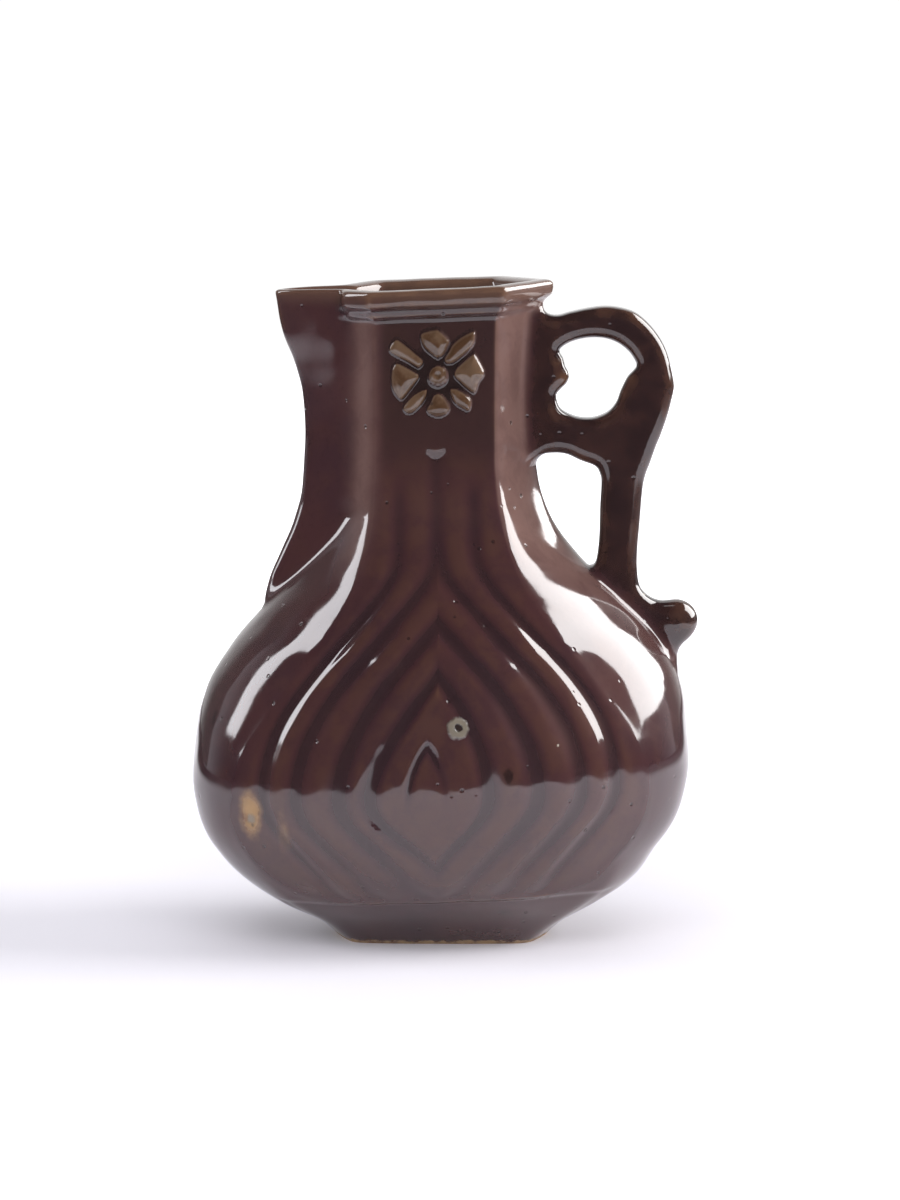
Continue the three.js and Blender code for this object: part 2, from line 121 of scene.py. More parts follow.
side_at = curve(STATIONS[:, 0], STATIONS[:, 1])
crown_at = curve(STATIONS[:, 0], STATIONS[:, 2])
corner_at = curve(STATIONS[:, 0], STATIONS[:, 3])
depth_at = curve(STATIONS[:, 0], STATIONS[:, 4])
lip_at = curve(LIP[:, 0], LIP[:, 1])
nose_at = curve(SPOUT[:, 0], SPOUT[:, 1])
keel_at = curve(SPOUT[:, 0], SPOUT[:, 2])
border_at = curve(BORDER[:, 0], BORDER[:, 1])


def smooth(x, a, b):
    t = np.clip((np.asarray(x, float) - a) / (b - a), 0, 1)
    return t * t * (3 - 2 * t)


def foot_swell(x, z):
    """Just above the foot the body is fuller, most of all on the handle side."""
    return smooth(z, 1, 9) * (1 - smooth(z, 11, 22)) * x * np.where(x > 0, 0.095, 0.024)


def settle(p):
    """The fired body sags a little towards the spout, and the neck leans."""
    x, y, z = p[..., 0], p[..., 1], p[..., 2]
    return np.stack([x + NECK_LEAN * smooth(z, 70, 120) + foot_swell(x, z), y, z + x * RING_TILT * smooth(z, 0, 14)], -1)


def soft_max(a, b, k):
    h = np.clip(k - np.abs(a - b), 0, None) / k
    return np.maximum(a, b) + h * h * k / 4


def soft_min(a, b, k):
    return -soft_max(-a, -b, k)


# ---------------------------------------------------------------- plan section
def quarter(u, z, push, spout_side):
    """Plan from the middle of the broad face (0) over the corner (1) to the side vertex (2)."""
    side0, b, c0, k = float(side_at(z)), float(crown_at(z)), float(corner_at(z)), float(depth_at(z))
    wide = max(side0, SPOUT_SIDE_VERTEX * float(smooth(z, 92, 112))) if spout_side else side0
    bevel = math.hypot(wide - c0, k * b)
    turn = math.atan2(k * b, wide - c0)
    side = wide + push * bevel / (k * b)
    crown = b + push
    corner = c0 + push * math.tan(turn / 2)
    depth = k * b + push
    u = np.asarray(u, float)
    t = np.clip(u, 0, 1)
    face = np.stack([corner * t, depth + (crown - depth) * (1 - t**2.1)], -1)
    s = np.clip(u - 1, 0, 1)
    dx, dy = side - corner, -depth
    ln = math.hypot(dx, dy)
    belly = float(smooth(z, 2, 30) * (1 - smooth(z, 84, 112)))
    bulge = 0.12 * ln * belly * 4 * s * (1 - s)
    bev = np.stack([corner + dx * s - dy / ln * bulge, depth + dy * s + dx / ln * bulge], -1)
    return np.where((u <= 1)[..., None], face, bev)


def keel_curve(reach, half, back=SPOUT_BACK, power=SPOUT_ROUND):
    a = np.linspace(0, math.pi / 2, 60)
    x = back + (reach - back) * np.cos(a) ** (2 / power)
    y = half * np.sin(a) ** (2 / power)
    return x, y


def polar_radius(x, y, angle):
    """Radius of a quarter curve (x, y >= 0, angle rising) at the given polar angles."""
    ang = np.arctan2(y, x)
    order = np.argsort(ang)
    return np.interp(angle, ang[order], np.hypot(x, y)[order])


# columns round the jug, from the left front corner through the front, anticlockwise seen from above
N_FRONT, N_RIGHT, N_BACK, N_LEFT = 156, 17, 84, 32
U_SIDE = 1 + (1 - np.cos(np.linspace(0, math.pi, N_RIGHT + 1))) / 2 * 0.5 + np.linspace(0, 1, N_RIGHT + 1) * 0.5
LEFT_SHARE = np.linspace(0, 1, N_LEFT + 1) ** 1.25  # polar share from the nose (0) to the corner (1)


def ring(z, push, spout_push=None, channel=None):
    """Closed plan ring at height z, pushed out or in, with the spout keel blended on."""
    tf = np.linspace(-1, 1, N_FRONT + 1)
    q = quarter(np.abs(tf), z, push, False)
    ql = quarter(np.abs(tf), z, push, True)
    front = np.where((tf < 0)[:, None], ql, q)
    front = np.stack([np.sign(tf) * front[:, 0], -front[:, 1]], -1)
    tb = np.linspace(1, -1, N_BACK + 1)
    q = quarter(np.abs(tb), z, push, False)
    ql = quarter(np.abs(tb), z, push, True)
    backf = np.where((tb < 0)[:, None], ql, q)
    backf = np.stack([np.sign(tb) * backf[:, 0], backf[:, 1]], -1)
    qr = quarter(U_SIDE, z, push, False)
    right_f = np.stack([qr[:, 0], -qr[:, 1]], -1)  # corner -> vertex
    right_b = np.stack([qr[::-1, 0], qr[::-1, 1]], -1)  # vertex -> corner
    # left side in polar angles, with the spout
    qc = quarter(np.linspace(1, 2, 60), z, push, True)
    ang_c = math.atan2(qc[0, 1], qc[0, 0])
    ang = ang_c * LEFT_SHARE
    rb = polar_radius(qc[:, 0], qc[:, 1], ang)
    if push > 0:  # the moulding dies out before it reaches the spout
        q0 = quarter(np.linspace(1, 2, 60), z, 0.0, True)
        plain_r = polar_radius(q0[:, 0], q0[:, 1], ang)
        rb = plain_r + (rb - plain_r) * smooth(ang, ang_c * 0.30, ang_c * 0.62)
    if spout_push is not None and z > 78:
        reach, half = float(nose_at(z)) + spout_push, max(float(keel_at(z)) + spout_push * 0.9, 0.6)
        kx, ky = keel_curve(reach, half) if channel is None else keel_curve(reach, half, channel, 1.85)
        rs = polar_radius(kx, ky, ang)
        lim = np.arctan2(half, kx[-1])
        rs = np.where(ang > lim, np.minimum(rs, half / np.maximum(np.sin(ang), 1e-6)), rs)
        blend = 1.5 * (1 - smooth(ang, ang_c * 0.86, ang_c))
        rb = np.where(blend > 0.02, soft_max(rb, rs, np.maximum(blend, 0.02)), rb)
    left = np.stack([-rb * np.cos(ang), rb * np.sin(ang)], -1)
    left_b = left[::-1]  # corner -> nose, back
    left_f = np.stack([left[:, 0], -left[:, 1]], -1)  # nose -> corner, front
    return np.concatenate([front[:-1], right_f[:-1], right_b[:-1], backf[:-1], left_b[:-1], left_f[:-1]])


def soften(xy, sigma):
    """Rounds the corners of a closed ring by a Gaussian along its length; the columns stay in step."""
    n = len(xy)
    closed = np.vstack([xy, xy[:1]])
    seg = np.hypot(*np.diff(closed, axis=0).T)
    s = np.concatenate([[0], np.cumsum(seg)])
    total = s[-1]
    m = 1400
    u = np.arange(m) * total / m
    fx = np.interp(u, s, closed[:, 0])
    fy = np.interp(u, s, closed[:, 1])
    freq = np.fft.rfftfreq(m, d=total / m)
    g = np.exp(-2 * (math.pi * freq * sigma) ** 2)
    fx = np.fft.irfft(np.fft.rfft(fx) * g, m)
    fy = np.fft.irfft(np.fft.rfft(fy) * g, m)
    uu = np.append(u, total)
    return np.stack([np.interp(s[:n], uu, np.append(fx, fx[0])), np.interp(s[:n], uu, np.append(fy, fy[0]))], -1)


# ---------------------------------------------------------------- relief of the broad faces
def bend_term(t, bend):
    return np.where(t < bend, t * t / (2 * bend), t - bend / 2)


def flute_potential(x, z):
    t = z - FLUTE_CENTRE
    leafy = np.abs(x) + np.where(t > 0, 0.94 * bend_term(np.abs(t), 33.0), 0.86 * bend_term(np.abs(t), 8.0))
    neck = FLUTES[2] + 0.96 * np.abs(x)
    k = 2.0
    m = np.minimum(leafy, neck)
    return m - k * np.log(np.exp(-(leafy - m) / k) + np.exp(-(neck - m) / k))


def inside_border(x, z):
    """About how far inside the border of the fluted field a point lies."""
    w = border_at(z)
    slope = (border_at(z + 0.4) - border_at(z - 0.4)) / 0.8
    side = (w - np.abs(x)) / np.sqrt(1 + slope**2)
    foot = z - FLUTE_FOOT
    return soft_min(side, foot, 1.5)


def groove_wall(d, half, power=1.25):
    """1 along a groove, 0 at the crests beside it: glaze has rounded both."""
    t = np.clip(np.abs(d) / half, 0, 1)
    return (0.5 + 0.5 * np.cos(math.pi * t)) ** power


def leaf_share(x, z):
    """The little leaf in the middle, clearest at its upper tip."""
    t = z - FLUTE_CENTRE
    q = np.abs(x - LEAF_SHIFT) + np.where(t > 0, 0.94 * bend_term(np.abs(t), LEAF_BEND), 0.86 * bend_term(np.abs(t), 8.0))
    arm = 0.12 + 0.88 * smooth(z, 37, 46)
    return groove_wall(q - LEAF_HALF, 2.1, 1.2) * (q < 12) * arm * (1 - 0.35 * smooth(x - LEAF_SHIFT, 1.5, 3.5))


def flute_share(x, z, plain):
    """How deep in a groove each point of a broad face lies, 0 to 1."""
    near_mid = np.exp(-((z - 42) / 16.0) ** 2)
    wide = np.abs(x) * (1 - 0.05 * np.clip((44 - np.abs(x)) / 20, 0, 1) * near_mid)
    p = flute_potential(wide, z)
    small = flute_potential(np.abs(x + 2.1 * near_mid) * (1 - 0.14 * near_mid), z)
    levels = FLUTES if not plain else FLUTES[1:]
    h = np.zeros_like(p)
    for level in levels:
        k = FLUTES.index(level)
        q = small if k == 0 else p
        below = (level - (FLUTES[k - 1] if k > 0 else 4.0)) / 2
        above = ((FLUTES[k + 1] if k + 1 < len(FLUTES) else 51.5) - level) / 2
        half = np.where(q < level, below, above)
        h = np.maximum(h, groove_wall(q - level, half, 1.6 if k == 0 else 1.3))
    if not plain:
        h = np.maximum(h, 0.5 * leaf_share(x, z))
    # the flutes grow shallower up the neck and down to the foot
    h = h * (0.66 + 0.34 * (1 - smooth(z, 76, 108))) * (0.5 + 0.5 * smooth(z, 12, 38))
    field = smooth(inside_border(x, z), -0.3, 2.4)
    outer = smooth(np.abs(x), 2.0, 5.0)
    ends = 1 - smooth(z + 0.9 * np.cos(x * math.pi / 4.6), FLUTE_TOP - 1.6 - 11.0 * outer, FLUTE_TOP + 1.0 - 1.2 * outer)
    return h * field * ends


def flute_relief(x, z, plain):
    d = inside_border(x, z)
    depth = GROOVE_DEPTH * (0.85 if plain else 1.0)
    # a fine bead marks the border, and the foot panel lies a step lower
    bead = 0.22 * np.exp(-((d - 0.2) / 1.1) ** 2) * (1 - smooth(z, 84, 108)) * smooth(z, 11.8, 14.0)
    foot_step = 0.5 * (1 - smooth(z, 12.4, 14.2)) * smooth(z, 2.0, 8.0)
    return -depth * flute_share(x, z, plain) + bead - foot_step


PETALS = [  # outline round the rosette's centre and rise of each petal
    ([(-4.9, 0), (-5.2, 0.5), (-9.8, 3.2), (-11.1, 2.9), (-11.7, 1.6), (-11.9, -1.3), (-11.3, -3.8), (-9.8, -5.8), (-8.7, -5.6), (-5.9, -2.1), (-4.9, -0.7)], 1.75),
    ([(4.2, 0.1), (4.5, 1.1), (5.7, 2.4), (8.8, 4.8), (9.6, 4.5), (11.2, 1.6), (11.8, -0.4), (10.4, -2.4), (9.8, -4.4), (8.6, -4.8), (4.5, -1.0)], 1.75),
    ([(-4.2, 10.7), (-1.0, 11.5), (0.3, 11.3), (2.8, 8.7), (2.5, 7.3), (1.6, 5.2), (0.0, 4.2), (-1.6, 5.2), (-3.4, 7.0), (-4.2, 8.8)], 1.7),
    ([(-12.3, 7.5), (-10.8, 9.3), (-9.3, 8.7), (-5.9, 5.8), (-3.9, 4.0), (-3.9, 2.9), (-5.1, 2.0), (-7.6, 3.6), (-11.8, 6.0)], 1.3),
    ([(1.6, 3.8), (2.9, 6.0), (3.7, 7.5), (5.9, 9.3), (8.8, 10.7), (9.5, 10.0), (9.1, 7.5), (6.9, 5.1), (3.9, 2.9), (2.5, 2.7)], 1.4),
    ([(-2.9, -3.6), (-3.4, -6.3), (-5.9, -9.0), (-7.6, -9.6), (-8.8, -8.5), (-8.4, -7.3), (-6.1, -4.9)], 1.4),
    ([(-1.0, -5.1), (1.0, -5.1), (3.0, -8.3), (2.5, -9.8), (1.0, -10.6), (-1.0, -10.5), (-2.9, -9.1), (-2.0, -7.3)], 1.5),
    ([(3.2, -3.8), (5.2, -4.0), (7.9, -6.0), (8.5, -7.5), (7.9, -9.5), (5.9, -8.6), (4.2, -7.3), (3.3, -5.3)], 1.4),
]


def polygon_distance(px, py, ring_):
    """Signed distance to a closed polygon, negative inside."""
    pts = np.asarray(ring_, float)
    d = np.full(px.shape, 1e9)
    inside = np.zeros(px.shape, bool)
    for a, b in zip(pts, np.roll(pts, -1, 0)):
        ex, ey = b - a
        wx, wy = px - a[0], py - a[1]
        t = np.clip((wx * ex + wy * ey) / (ex * ex + ey * ey), 0, 1)
        d = np.minimum(d, np.hypot(wx - ex * t, wy - ey * t))
        crosses = (a[1] > py) != (b[1] > py)
        if ey != 0:
            inside ^= crosses & (px < a[0] + (py - a[1]) * ex / ey)
    return np.where(inside, -d, d)


def closed_spline(ring_, per=5):
    p = np.asarray(ring_, float)
    out = []
    n_ = len(p)
    for i in range(n_):
        p0, p1, p2, p3 = p[i - 1], p[i], p[(i + 1) % n_], p[(i + 2) % n_]
        for t in np.arange(per) / per:
            out.append(0.5 * (2 * p1 + (p2 - p0) * t + (2 * p0 - 5 * p1 + 4 * p2 - p3) * t**2 + (3 * p1 - p0 - 3 * p2 + p3) * t**3))
    return np.array(out)


def rosette_relief(x, z):
    rx, rz = x - ROSETTE_X, z - ROSETTE_Z
    out = np.zeros_like(rx)
    near = (np.abs(rx) < 15) & (np.abs(rz) < 14)
    if not near.any():
        return out
    px, pz = rx[near], rz[near]
    best = np.zeros_like(px)
    closest = np.full_like(px, 9.0)
    for outline, rise in PETALS:
        d = -polygon_distance(px, pz, closed_spline(outline, 3) * 0.965)
        closest = np.minimum(closest, -d)
        reach = max(float(d.max()), 0.8)
        t = np.clip((d + 0.1) / (reach + 0.1), 0, 1)
        best = np.maximum(best, rise * (1 - (1 - t) ** 2) ** 0.7)
    r = np.hypot(px, pz)
    boss = 1.35 * np.sqrt(np.clip(1 - (np.clip(r - 0.9, 0, 9) / 1.3) ** 2, 0, 1)) - 0.7 * np.exp(-(r / 0.6) ** 2)
    shelf = 0.45 * (1 - smooth(np.hypot(px, pz + 0.5), 1.9, 2.9))
    best = np.maximum(best, np.where(r < 2.3, np.maximum(boss, shelf), shelf))
    # clay between the petals is pressed a little lower than the panel
    hollow = -0.3 * np.exp(-((r - 4.6) / 3.4) ** 2)
    out[near] = best + hollow * (1 - smooth(best, 0.0, 0.5))
    return out


rng = np.random.default_rng(71)
WAVES = [(rng.normal(size=3), rng.uniform(0, 2 * math.pi), ln, amp)
         for ln, amp, count in ((36, 0.055, 7), (17, 0.018, 9), (6.5, 0.005, 12)) for _ in range(count)]


def wobble(p):
    """Small unevenness of a hand finished, glazed surface."""
    out = np.zeros(p.shape[:-1])
    for d, ph, ln, amp in WAVES:
        d = d / np.linalg.norm(d)
        out += amp * np.sin((p @ d) * 2 * math.pi / ln + ph)
    return out


# ---------------------------------------------------------------- body mesh
def rows_by_spacing():
    """Heights of the outer rows: finer in the rosette, the moulding and the flutes."""
    z = np.linspace(0, 162.6, 4000)
    slope = np.hypot(np.gradient(crown_at(z), z), 1)
    want = np.where(z < 11, 1.1, np.where(z < 15.5, 0.6, np.where(z < 119, 1.0, np.where(z < 128, 0.6, np.where(z < 154.5, 0.42, 0.34)))))
    s = np.concatenate([[0], np.cumsum(0.5 * (slope[1:] / want[1:] + slope[:-1] / want[:-1]) * np.diff(z))])
    n = int(round(s[-1] / 2)) * 2
    return np.interp(np.linspace(0, s[-1], n + 1), s, z)


ROWS = rows_by_spacing()
NR = len(ROWS)
sigma_at = curve([0, 6, 20, 45, 70, 100, 122, 150, 158, 165], [2.6, 2.4, 1.8, 2.2, 3.2, 2.4, 1.2, 1.0, 0.7, 0.6])
base = np.zeros((NR, N_FRONT + 2 * N_RIGHT + N_BACK + 2 * N_LEFT, 3))
for j, z in enumerate(ROWS):
    push = float(lip_at(z)) if z > 153.2 else 0.0
    xy = soften(ring(z, push, 0.0), float(sigma_at(z)))
    base[j, :, :2] = xy
    base[j, :, 2] = z
# rows over the rim: (push on the moulding, push on the spout, height)
RIM = [(2.8, -0.12, 163.1), (2.3, -0.4, 163.4), (1.5, -0.85, 163.58), (0.5, -1.4, 163.62),
       (-0.7, -1.95, 163.55), (-1.8, -2.45, 163.3), (-2.6, -2.85, 162.8), (-3.05, -3.1, 162.0)]
rim = []
for push, spush, z in RIM:
    xy = soften(ring(163.5, push, spush), 0.7)
    rim.append(np.column_stack([xy, np.full(len(xy), z)]))
rim = np.array(rim)
grid = np.concatenate([base, rim])

# normals of the settled, smooth form, then relief and unevenness along them
placed = settle(grid)
du = np.roll(placed, -1, 1) - np.roll(placed, 1, 1)
dv = np.gradient(placed, axis=0)
nrm = np.cross(du, dv)
nrm /= np.maximum(np.linalg.norm(nrm, axis=-1, keepdims=True), 1e-9)
x, y, z = grid[..., 0], grid[..., 1], grid[..., 2]
face_w = 1 - smooth(np.abs(x) - corner_at(z), -0.2, 2.2)
is_front = (y < 0) & (np.abs(x) < corner_at(z) + 3.2)
is_back = (y > 0) & (np.abs(x) < corner_at(z) + 3.2)
relief = np.zeros_like(x)
fr = flute_relief(x, z, False)
bk = flute_relief(x, z, True)
relief = np.where(is_front, fr, np.where(is_back, bk, 0.0))
beyond = smooth(np.abs(x) - corner_at(z), 1.2, 3.2)
foot_low = -0.5 * (1 - smooth(z, 12.4, 14.2)) * smooth(z, 2.0, 8.0) * (np.abs(x) > 0) * 0.0
relief = np.where(is_front | is_back, relief * (1 - beyond), 0.0) + foot_low
relief = relief + np.where(y < 0, rosette_relief(x, z), 0.0)
relief = relief * (z < 155.0) + wobble(grid) * smooth(z, 0.5, 6)
relief[0] = 0
final = placed + nrm * relief[..., None]
final[0, :, 2] = 0.0

verts = []
faces = []


def add_points(p):
    start = sum(len(v) for v in verts)
    verts.append(p.reshape(-1, 3))
    return start


NC = grid.shape[1]
FULL = NR + len(RIM)
# full columns: front and back faces (with their corners); half rows elsewhere below the moulding
index = np.full((FULL, NC), -1, dtype=int)
front_cols = np.arange(0, N_FRONT + 1)
back_start = N_FRONT + 2 * N_RIGHT
back_cols = np.arange(back_start, back_start + N_BACK + 1)
full_col = np.zeros(NC, bool)
full_col[front_cols % NC] = True
full_col[back_cols % NC] = True
split = int(np.searchsorted(ROWS, 153.0)) // 2 * 2  # above this row every column has every row
keep = np.zeros((FULL, NC), bool)
keep[:, full_col] = True
keep[split:, :] = True
keep[: split + 1 : 2, :] = True
count = int(keep.sum())
index[keep] = np.arange(count)
start0 = add_points(final[keep])

for c in range(NC):
    d = (c + 1) % NC
    for j in range(FULL - 1):
        if j >= split or (full_col[c] and full_col[d] and keep[j, c] and keep[j, d] and keep[j + 1, c] and keep[j + 1, d]
                          and not (c == N_FRONT or c == back_start + N_BACK)):
            faces.append((index[j, c], index[j, d], index[j + 1, d], index[j + 1, c]))
        elif j % 2 == 0 and j < split:
            fc, fd = full_col[c], full_col[d]
            a, b, e, f = index[j, c], index[j, d], index[j + 2, d], index[j + 2, c]
            if fc and not fd:
                m = index[j + 1, c]
                faces += [(a, b, m), (m, b, e), (m, e, f)]
            elif fd and not fc:
                m = index[j + 1, d]
                faces += [(a, b, m), (a, m, f), (m, e, f)]
            elif fc and fd:
                pass
            else:
                faces.append((a, b, e, f))

# underside: flat foot, a shallow unglazed ring and the middle
foot = final[0].copy()
prev = index[0]
for share in (0.93, 0.72, 0.4):
    p = foot.copy()
    p[:, :2] *= share
    p[:, 2] = 0
    idx = add_points(p) + np.arange(NC)
    for c in range(NC):
        d = (c + 1) % NC
        faces.append((prev[d], prev[c], idx[c], idx[d]))
    prev = idx
mid = add_points(np.array([[0.0, 0.0, 0.0]]))
for c in range(NC):
    faces.append((prev[(c + 1) % NC], prev[c], mid))

# inside
N_IN = 112


def inner_ring(z, share=1.0, push=None, spush=-3.4):
    slope = float((side_at(z + 0.5) - side_at(z - 0.5)))
    p = -WALL * min(math.hypot(1, slope), 2.0) if push is None else push
    spout = spush if z > 88 else None
    if z > 88 and z < 97:
        spout = spush - (97 - z) * 0.8
    r = ring(z, p, spout, 8.0)
    r = soften(r, 1.5 if z < 100 else 0.8)
    ang = np.unwrap(np.arctan2(r[:, 1], r[:, 0]))
    rad = np.hypot(r[:, 0], r[:, 1])
    a = np.linspace(0, 2 * math.pi, N_IN, endpoint=False) - math.pi
    # crowd the columns a little towards the spout
    a = a - 0.22 * np.sin(a) * -1.0
    aa = np.concatenate([ang - 2 * math.pi, ang, ang + 2 * math.pi])
    rr = np.tile(rad, 3)
    o = np.argsort(aa)
    radius = np.interp(a, aa[o], rr[o]) * share
    return np.stack([radius * np.cos(a), radius * np.sin(a)], -1), a


in_rows = [(162.9, 1.0, -2.9), (161.2, 1.0, -3.05)]
inner_z = list(np.linspace(159, 112, 20)) + list(np.linspace(109, 60, 26)) + list(np.linspace(57, 14, 20)) + [11.5, 9.8, 8.6]
inner_pts = []
for zz, share, push in in_rows[1:]:
    xy, ang_in = inner_ring(zz, share, push)
    inner_pts.append(np.column_stack([xy, np.full(N_IN, zz)]))
for zz in inner_z:
    xy, ang_in = inner_ring(zz)
    inner_pts.append(np.column_stack([xy, np.full(N_IN, zz)]))
for share, zz in ((0.93, 7.2), (0.82, 6.2), (0.66, 5.5), (0.42, FLOOR + 0.05)):
    xy, ang_in = inner_ring(8.6, share)
    inner_pts.append(np.column_stack([xy, np.full(N_IN, zz)]))
inner = np.array(inner_pts)
inner_settled = settle(inner)
inner_settled[:, :, :2] *= 1 - 0.0015 * np.sin(inner[:, :, 2:3] * 0.5)
in_start = add_points(inner_settled)
in_idx = in_start + np.arange(inner.shape[0] * N_IN).reshape(inner.shape[0], N_IN)
for j in range(inner.shape[0] - 1):
    for c in range(N_IN):
        d = (c + 1) % N_IN
        faces.append((in_idx[j, c], in_idx[j, d], in_idx[j + 1, d], in_idx[j + 1, c]))
mid_in = add_points(settle(np.array([[0.0, 0.0, FLOOR]])))
for c in range(N_IN):
    faces.append((in_idx[-1, c], in_idx[-1, (c + 1) % N_IN], mid_in))

# zip the rim's last ring to the first inner ring by polar angle
top = index[FULL - 1]
tp = grid[FULL - 1]
ang_o = np.unwrap(np.arctan2(tp[:, 1], tp[:, 0]))
shift = int(np.argmin(np.abs(np.mod(ang_o - ang_in[0] + math.pi, 2 * math.pi) - math.pi)))
order = np.roll(np.arange(NC), -shift)
ao = np.unwrap(np.arctan2(tp[order, 1], tp[order, 0]))
ao = ao - round((ao[0] - ang_in[0]) / (2 * math.pi)) * 2 * math.pi
ai = ang_in
i = k = 0
while i < NC or k < N_IN:
    o0 = top[order[i % NC]]
    i0 = in_idx[0, k % N_IN]
    next_o = ao[i + 1] if i + 1 < NC else ao[0] + 2 * math.pi
    next_i = ai[k + 1] if k + 1 < N_IN else ai[0] + 2 * math.pi
    if k >= N_IN or (i < NC and next_o <= next_i):
        faces.append((o0, top[order[(i + 1) % NC]], i0))
        i += 1
    else:
        faces.append((o0, in_idx[0, (k + 1) % N_IN], i0))
        k += 1

points = np.concatenate(verts) * 0.001


def mesh_object(name, pts, fcs):
    me = bpy.data.meshes.new(name)
    me.from_pydata([tuple(p) for p in pts], [], [tuple(int(v) for v in f) for f in fcs])
    me.validate()
    me.update()
    ob = bpy.data.objects.new(name, me)
    bpy.context.scene.collection.objects.link(ob)
    return ob


body = mesh_object("jug_glazed", points, faces)

# ---------------------------------------------------------------- handle
# outlines in the XZ plane: the outer edge, then the two gaps
OUTLINE = [
    (26.8, 156.0), (29.1, 155.8), (31.6, 156.5), (35.7, 157.4), (40.0, 158.0), (43.6, 157.8), (47.4, 156.8), (50.1, 155.0),
    (52.7, 152.3), (54.8, 149.2), (56.2, 146.0), (57.2, 142.0), (57.8, 138.9), (57.7, 137.0), (57.1, 134.3), (56.2, 130.8),
    (54.7, 126.4), (53.4, 123.2), (52.0, 119.2), (50.7, 115.6), (50.0, 111.5), (49.4, 103.7), (48.9, 97.7), (48.8, 92.7),
    (49.3, 88.7), (50.6, 86.4), (53.0, 84.8), (56.3, 84.1), (59.6, 84.0), (62.1, 82.7), (63.4, 80.5), (63.3, 78.0),
    (61.7, 75.5), (60.1, 73.4), (59.0, 71.3), (58.5, 68.9), (57.5, 66.0), (53.5, 64.0), (47.0, 68.0), (40.0, 77.0),
    (30.0, 88.0), (19.0, 112.0), (17.0, 125.0), (17.0, 140.0), (17.5, 154.0), (21.0, 157.0), (24.5, 157.2)]
UPPER_GAP = [
    (29.3, 147.1), (30.6, 148.4), (33.2, 149.6), (36.9, 150.3), (40.7, 150.1), (43.8, 149.0), (46.3, 147.1), (47.8, 145.1),
    (48.5, 143.4), (48.0, 142.4), (46.4, 140.7), (45.4, 138.9), (44.4, 136.7), (43.5, 134.2), (41.7, 132.0), (39.5, 130.8),
    (37.0, 130.2), (33.9, 130.4), (31.4, 131.3), (29.5, 132.6), (28.7, 134.5), (28.6, 136.1), (29.8, 137.6), (31.1, 138.9),
    (31.7, 140.3), (31.5, 141.7), (30.7, 143.2), (30.2, 145.1), (29.5, 146.2)]
LOWER_GAP = [
    (27.9, 121.5), (24.6, 120.8), (20.0, 117.0), (23.0, 106.0), (29.0, 94.0), (35.4, 89.6), (37.8, 92.2), (38.7, 95.2),
    (39.3, 100.2), (39.5, 107.8), (39.8, 113.6), (39.5, 116.1), (38.3, 118.2), (34.5, 119.7), (31.2, 121.2)]
CELL = 0.74
gx = np.arange(16.5, 67.0, CELL)
gy = np.arange(-8.2, 8.25, CELL)
gz = np.arange(61.0, 163.5, CELL)
FINE = 0.3
fx_ = np.arange(14.0, 70.0, FINE)
fz_ = np.arange(58.0, 166.0, FINE)
FXX, FZZ = np.meshgrid(fx_, fz_, indexing="ij")
plate = polygon_distance(FXX, FZZ, closed_spline(OUTLINE, 4))
plate = np.maximum(plate, -polygon_distance(FXX, FZZ, closed_spline(UPPER_GAP, 4)))
plate = np.maximum(plate, -polygon_distance(FXX, FZZ, closed_spline(LOWER_GAP, 4)))


def flat_distance(px, pz):
    i = np.clip((px - fx_[0]) / FINE, 0, len(fx_) - 1.001)
    j = np.clip((pz - fz_[0]) / FINE, 0, len(fz_) - 1.001)
    i0, j0 = i.astype(int), j.astype(int)
    a, b = i - i0, j - j0
    return ((1 - a) * (1 - b) * plate[i0, j0] + a * (1 - b) * plate[i0 + 1, j0]
            + (1 - a) * b * plate[i0, j0 + 1] + a * b * plate[i0 + 1, j0 + 1])


# table of the finished body's radius near the handle, for the clay fillet where they join
ang_tab = np.linspace(-0.75, 0.75, 101)
z_tab = np.linspace(58, 163.0, 241)
cols = np.arange(N_FRONT - 4, N_FRONT + 2 * N_RIGHT + 4)
r_cols = np.zeros((len(z_tab), len(cols)))
a_cols = np.zeros_like(r_cols)
for m_, c in enumerate(cols):
    p = final[: NR + 2, c]
    zc = np.maximum.accumulate(p[:, 2]) + np.arange(len(p)) * 1e-6
    r_cols[:, m_] = np.interp(z_tab, zc, np.hypot(p[:, 0], p[:, 1]))
    a_cols[:, m_] = np.interp(z_tab, zc, np.arctan2(p[:, 1], p[:, 0]))
rad_tab = np.array([np.interp(ang_tab, a_cols[j], r_cols[j]) for j in range(len(z_tab))])
slope_tab = np.hypot(1, np.gradient(rad_tab, z_tab, axis=0))
turn_tab = np.hypot(1, np.gradient(rad_tab, ang_tab, axis=1) / rad_tab)


def body_distance(px, py, pz):
    """Signed distance to the finished body near its handle side, roughly."""
    a = np.arctan2(py, px)
    rj = np.clip((pz - z_tab[0]) / (z_tab[1] - z_tab[0]), 0, len(z_tab) - 1.001)
    ri = np.clip((a - ang_tab[0]) / (ang_tab[1] - ang_tab[0]), 0, len(ang_tab) - 1.001)
    j0, i0 = rj.astype(int), ri.astype(int)
    fj, fi = rj - j0, ri - i0

    def look(tab):
        return ((1 - fj) * (1 - fi) * tab[j0, i0] + fj * (1 - fi) * tab[j0 + 1, i0]
                + (1 - fj) * fi * tab[j0, i0 + 1] + fj * fi * tab[j0 + 1, i0 + 1])
    return (np.hypot(px, py) - look(rad_tab)) / np.maximum(look(slope_tab), look(turn_tab))


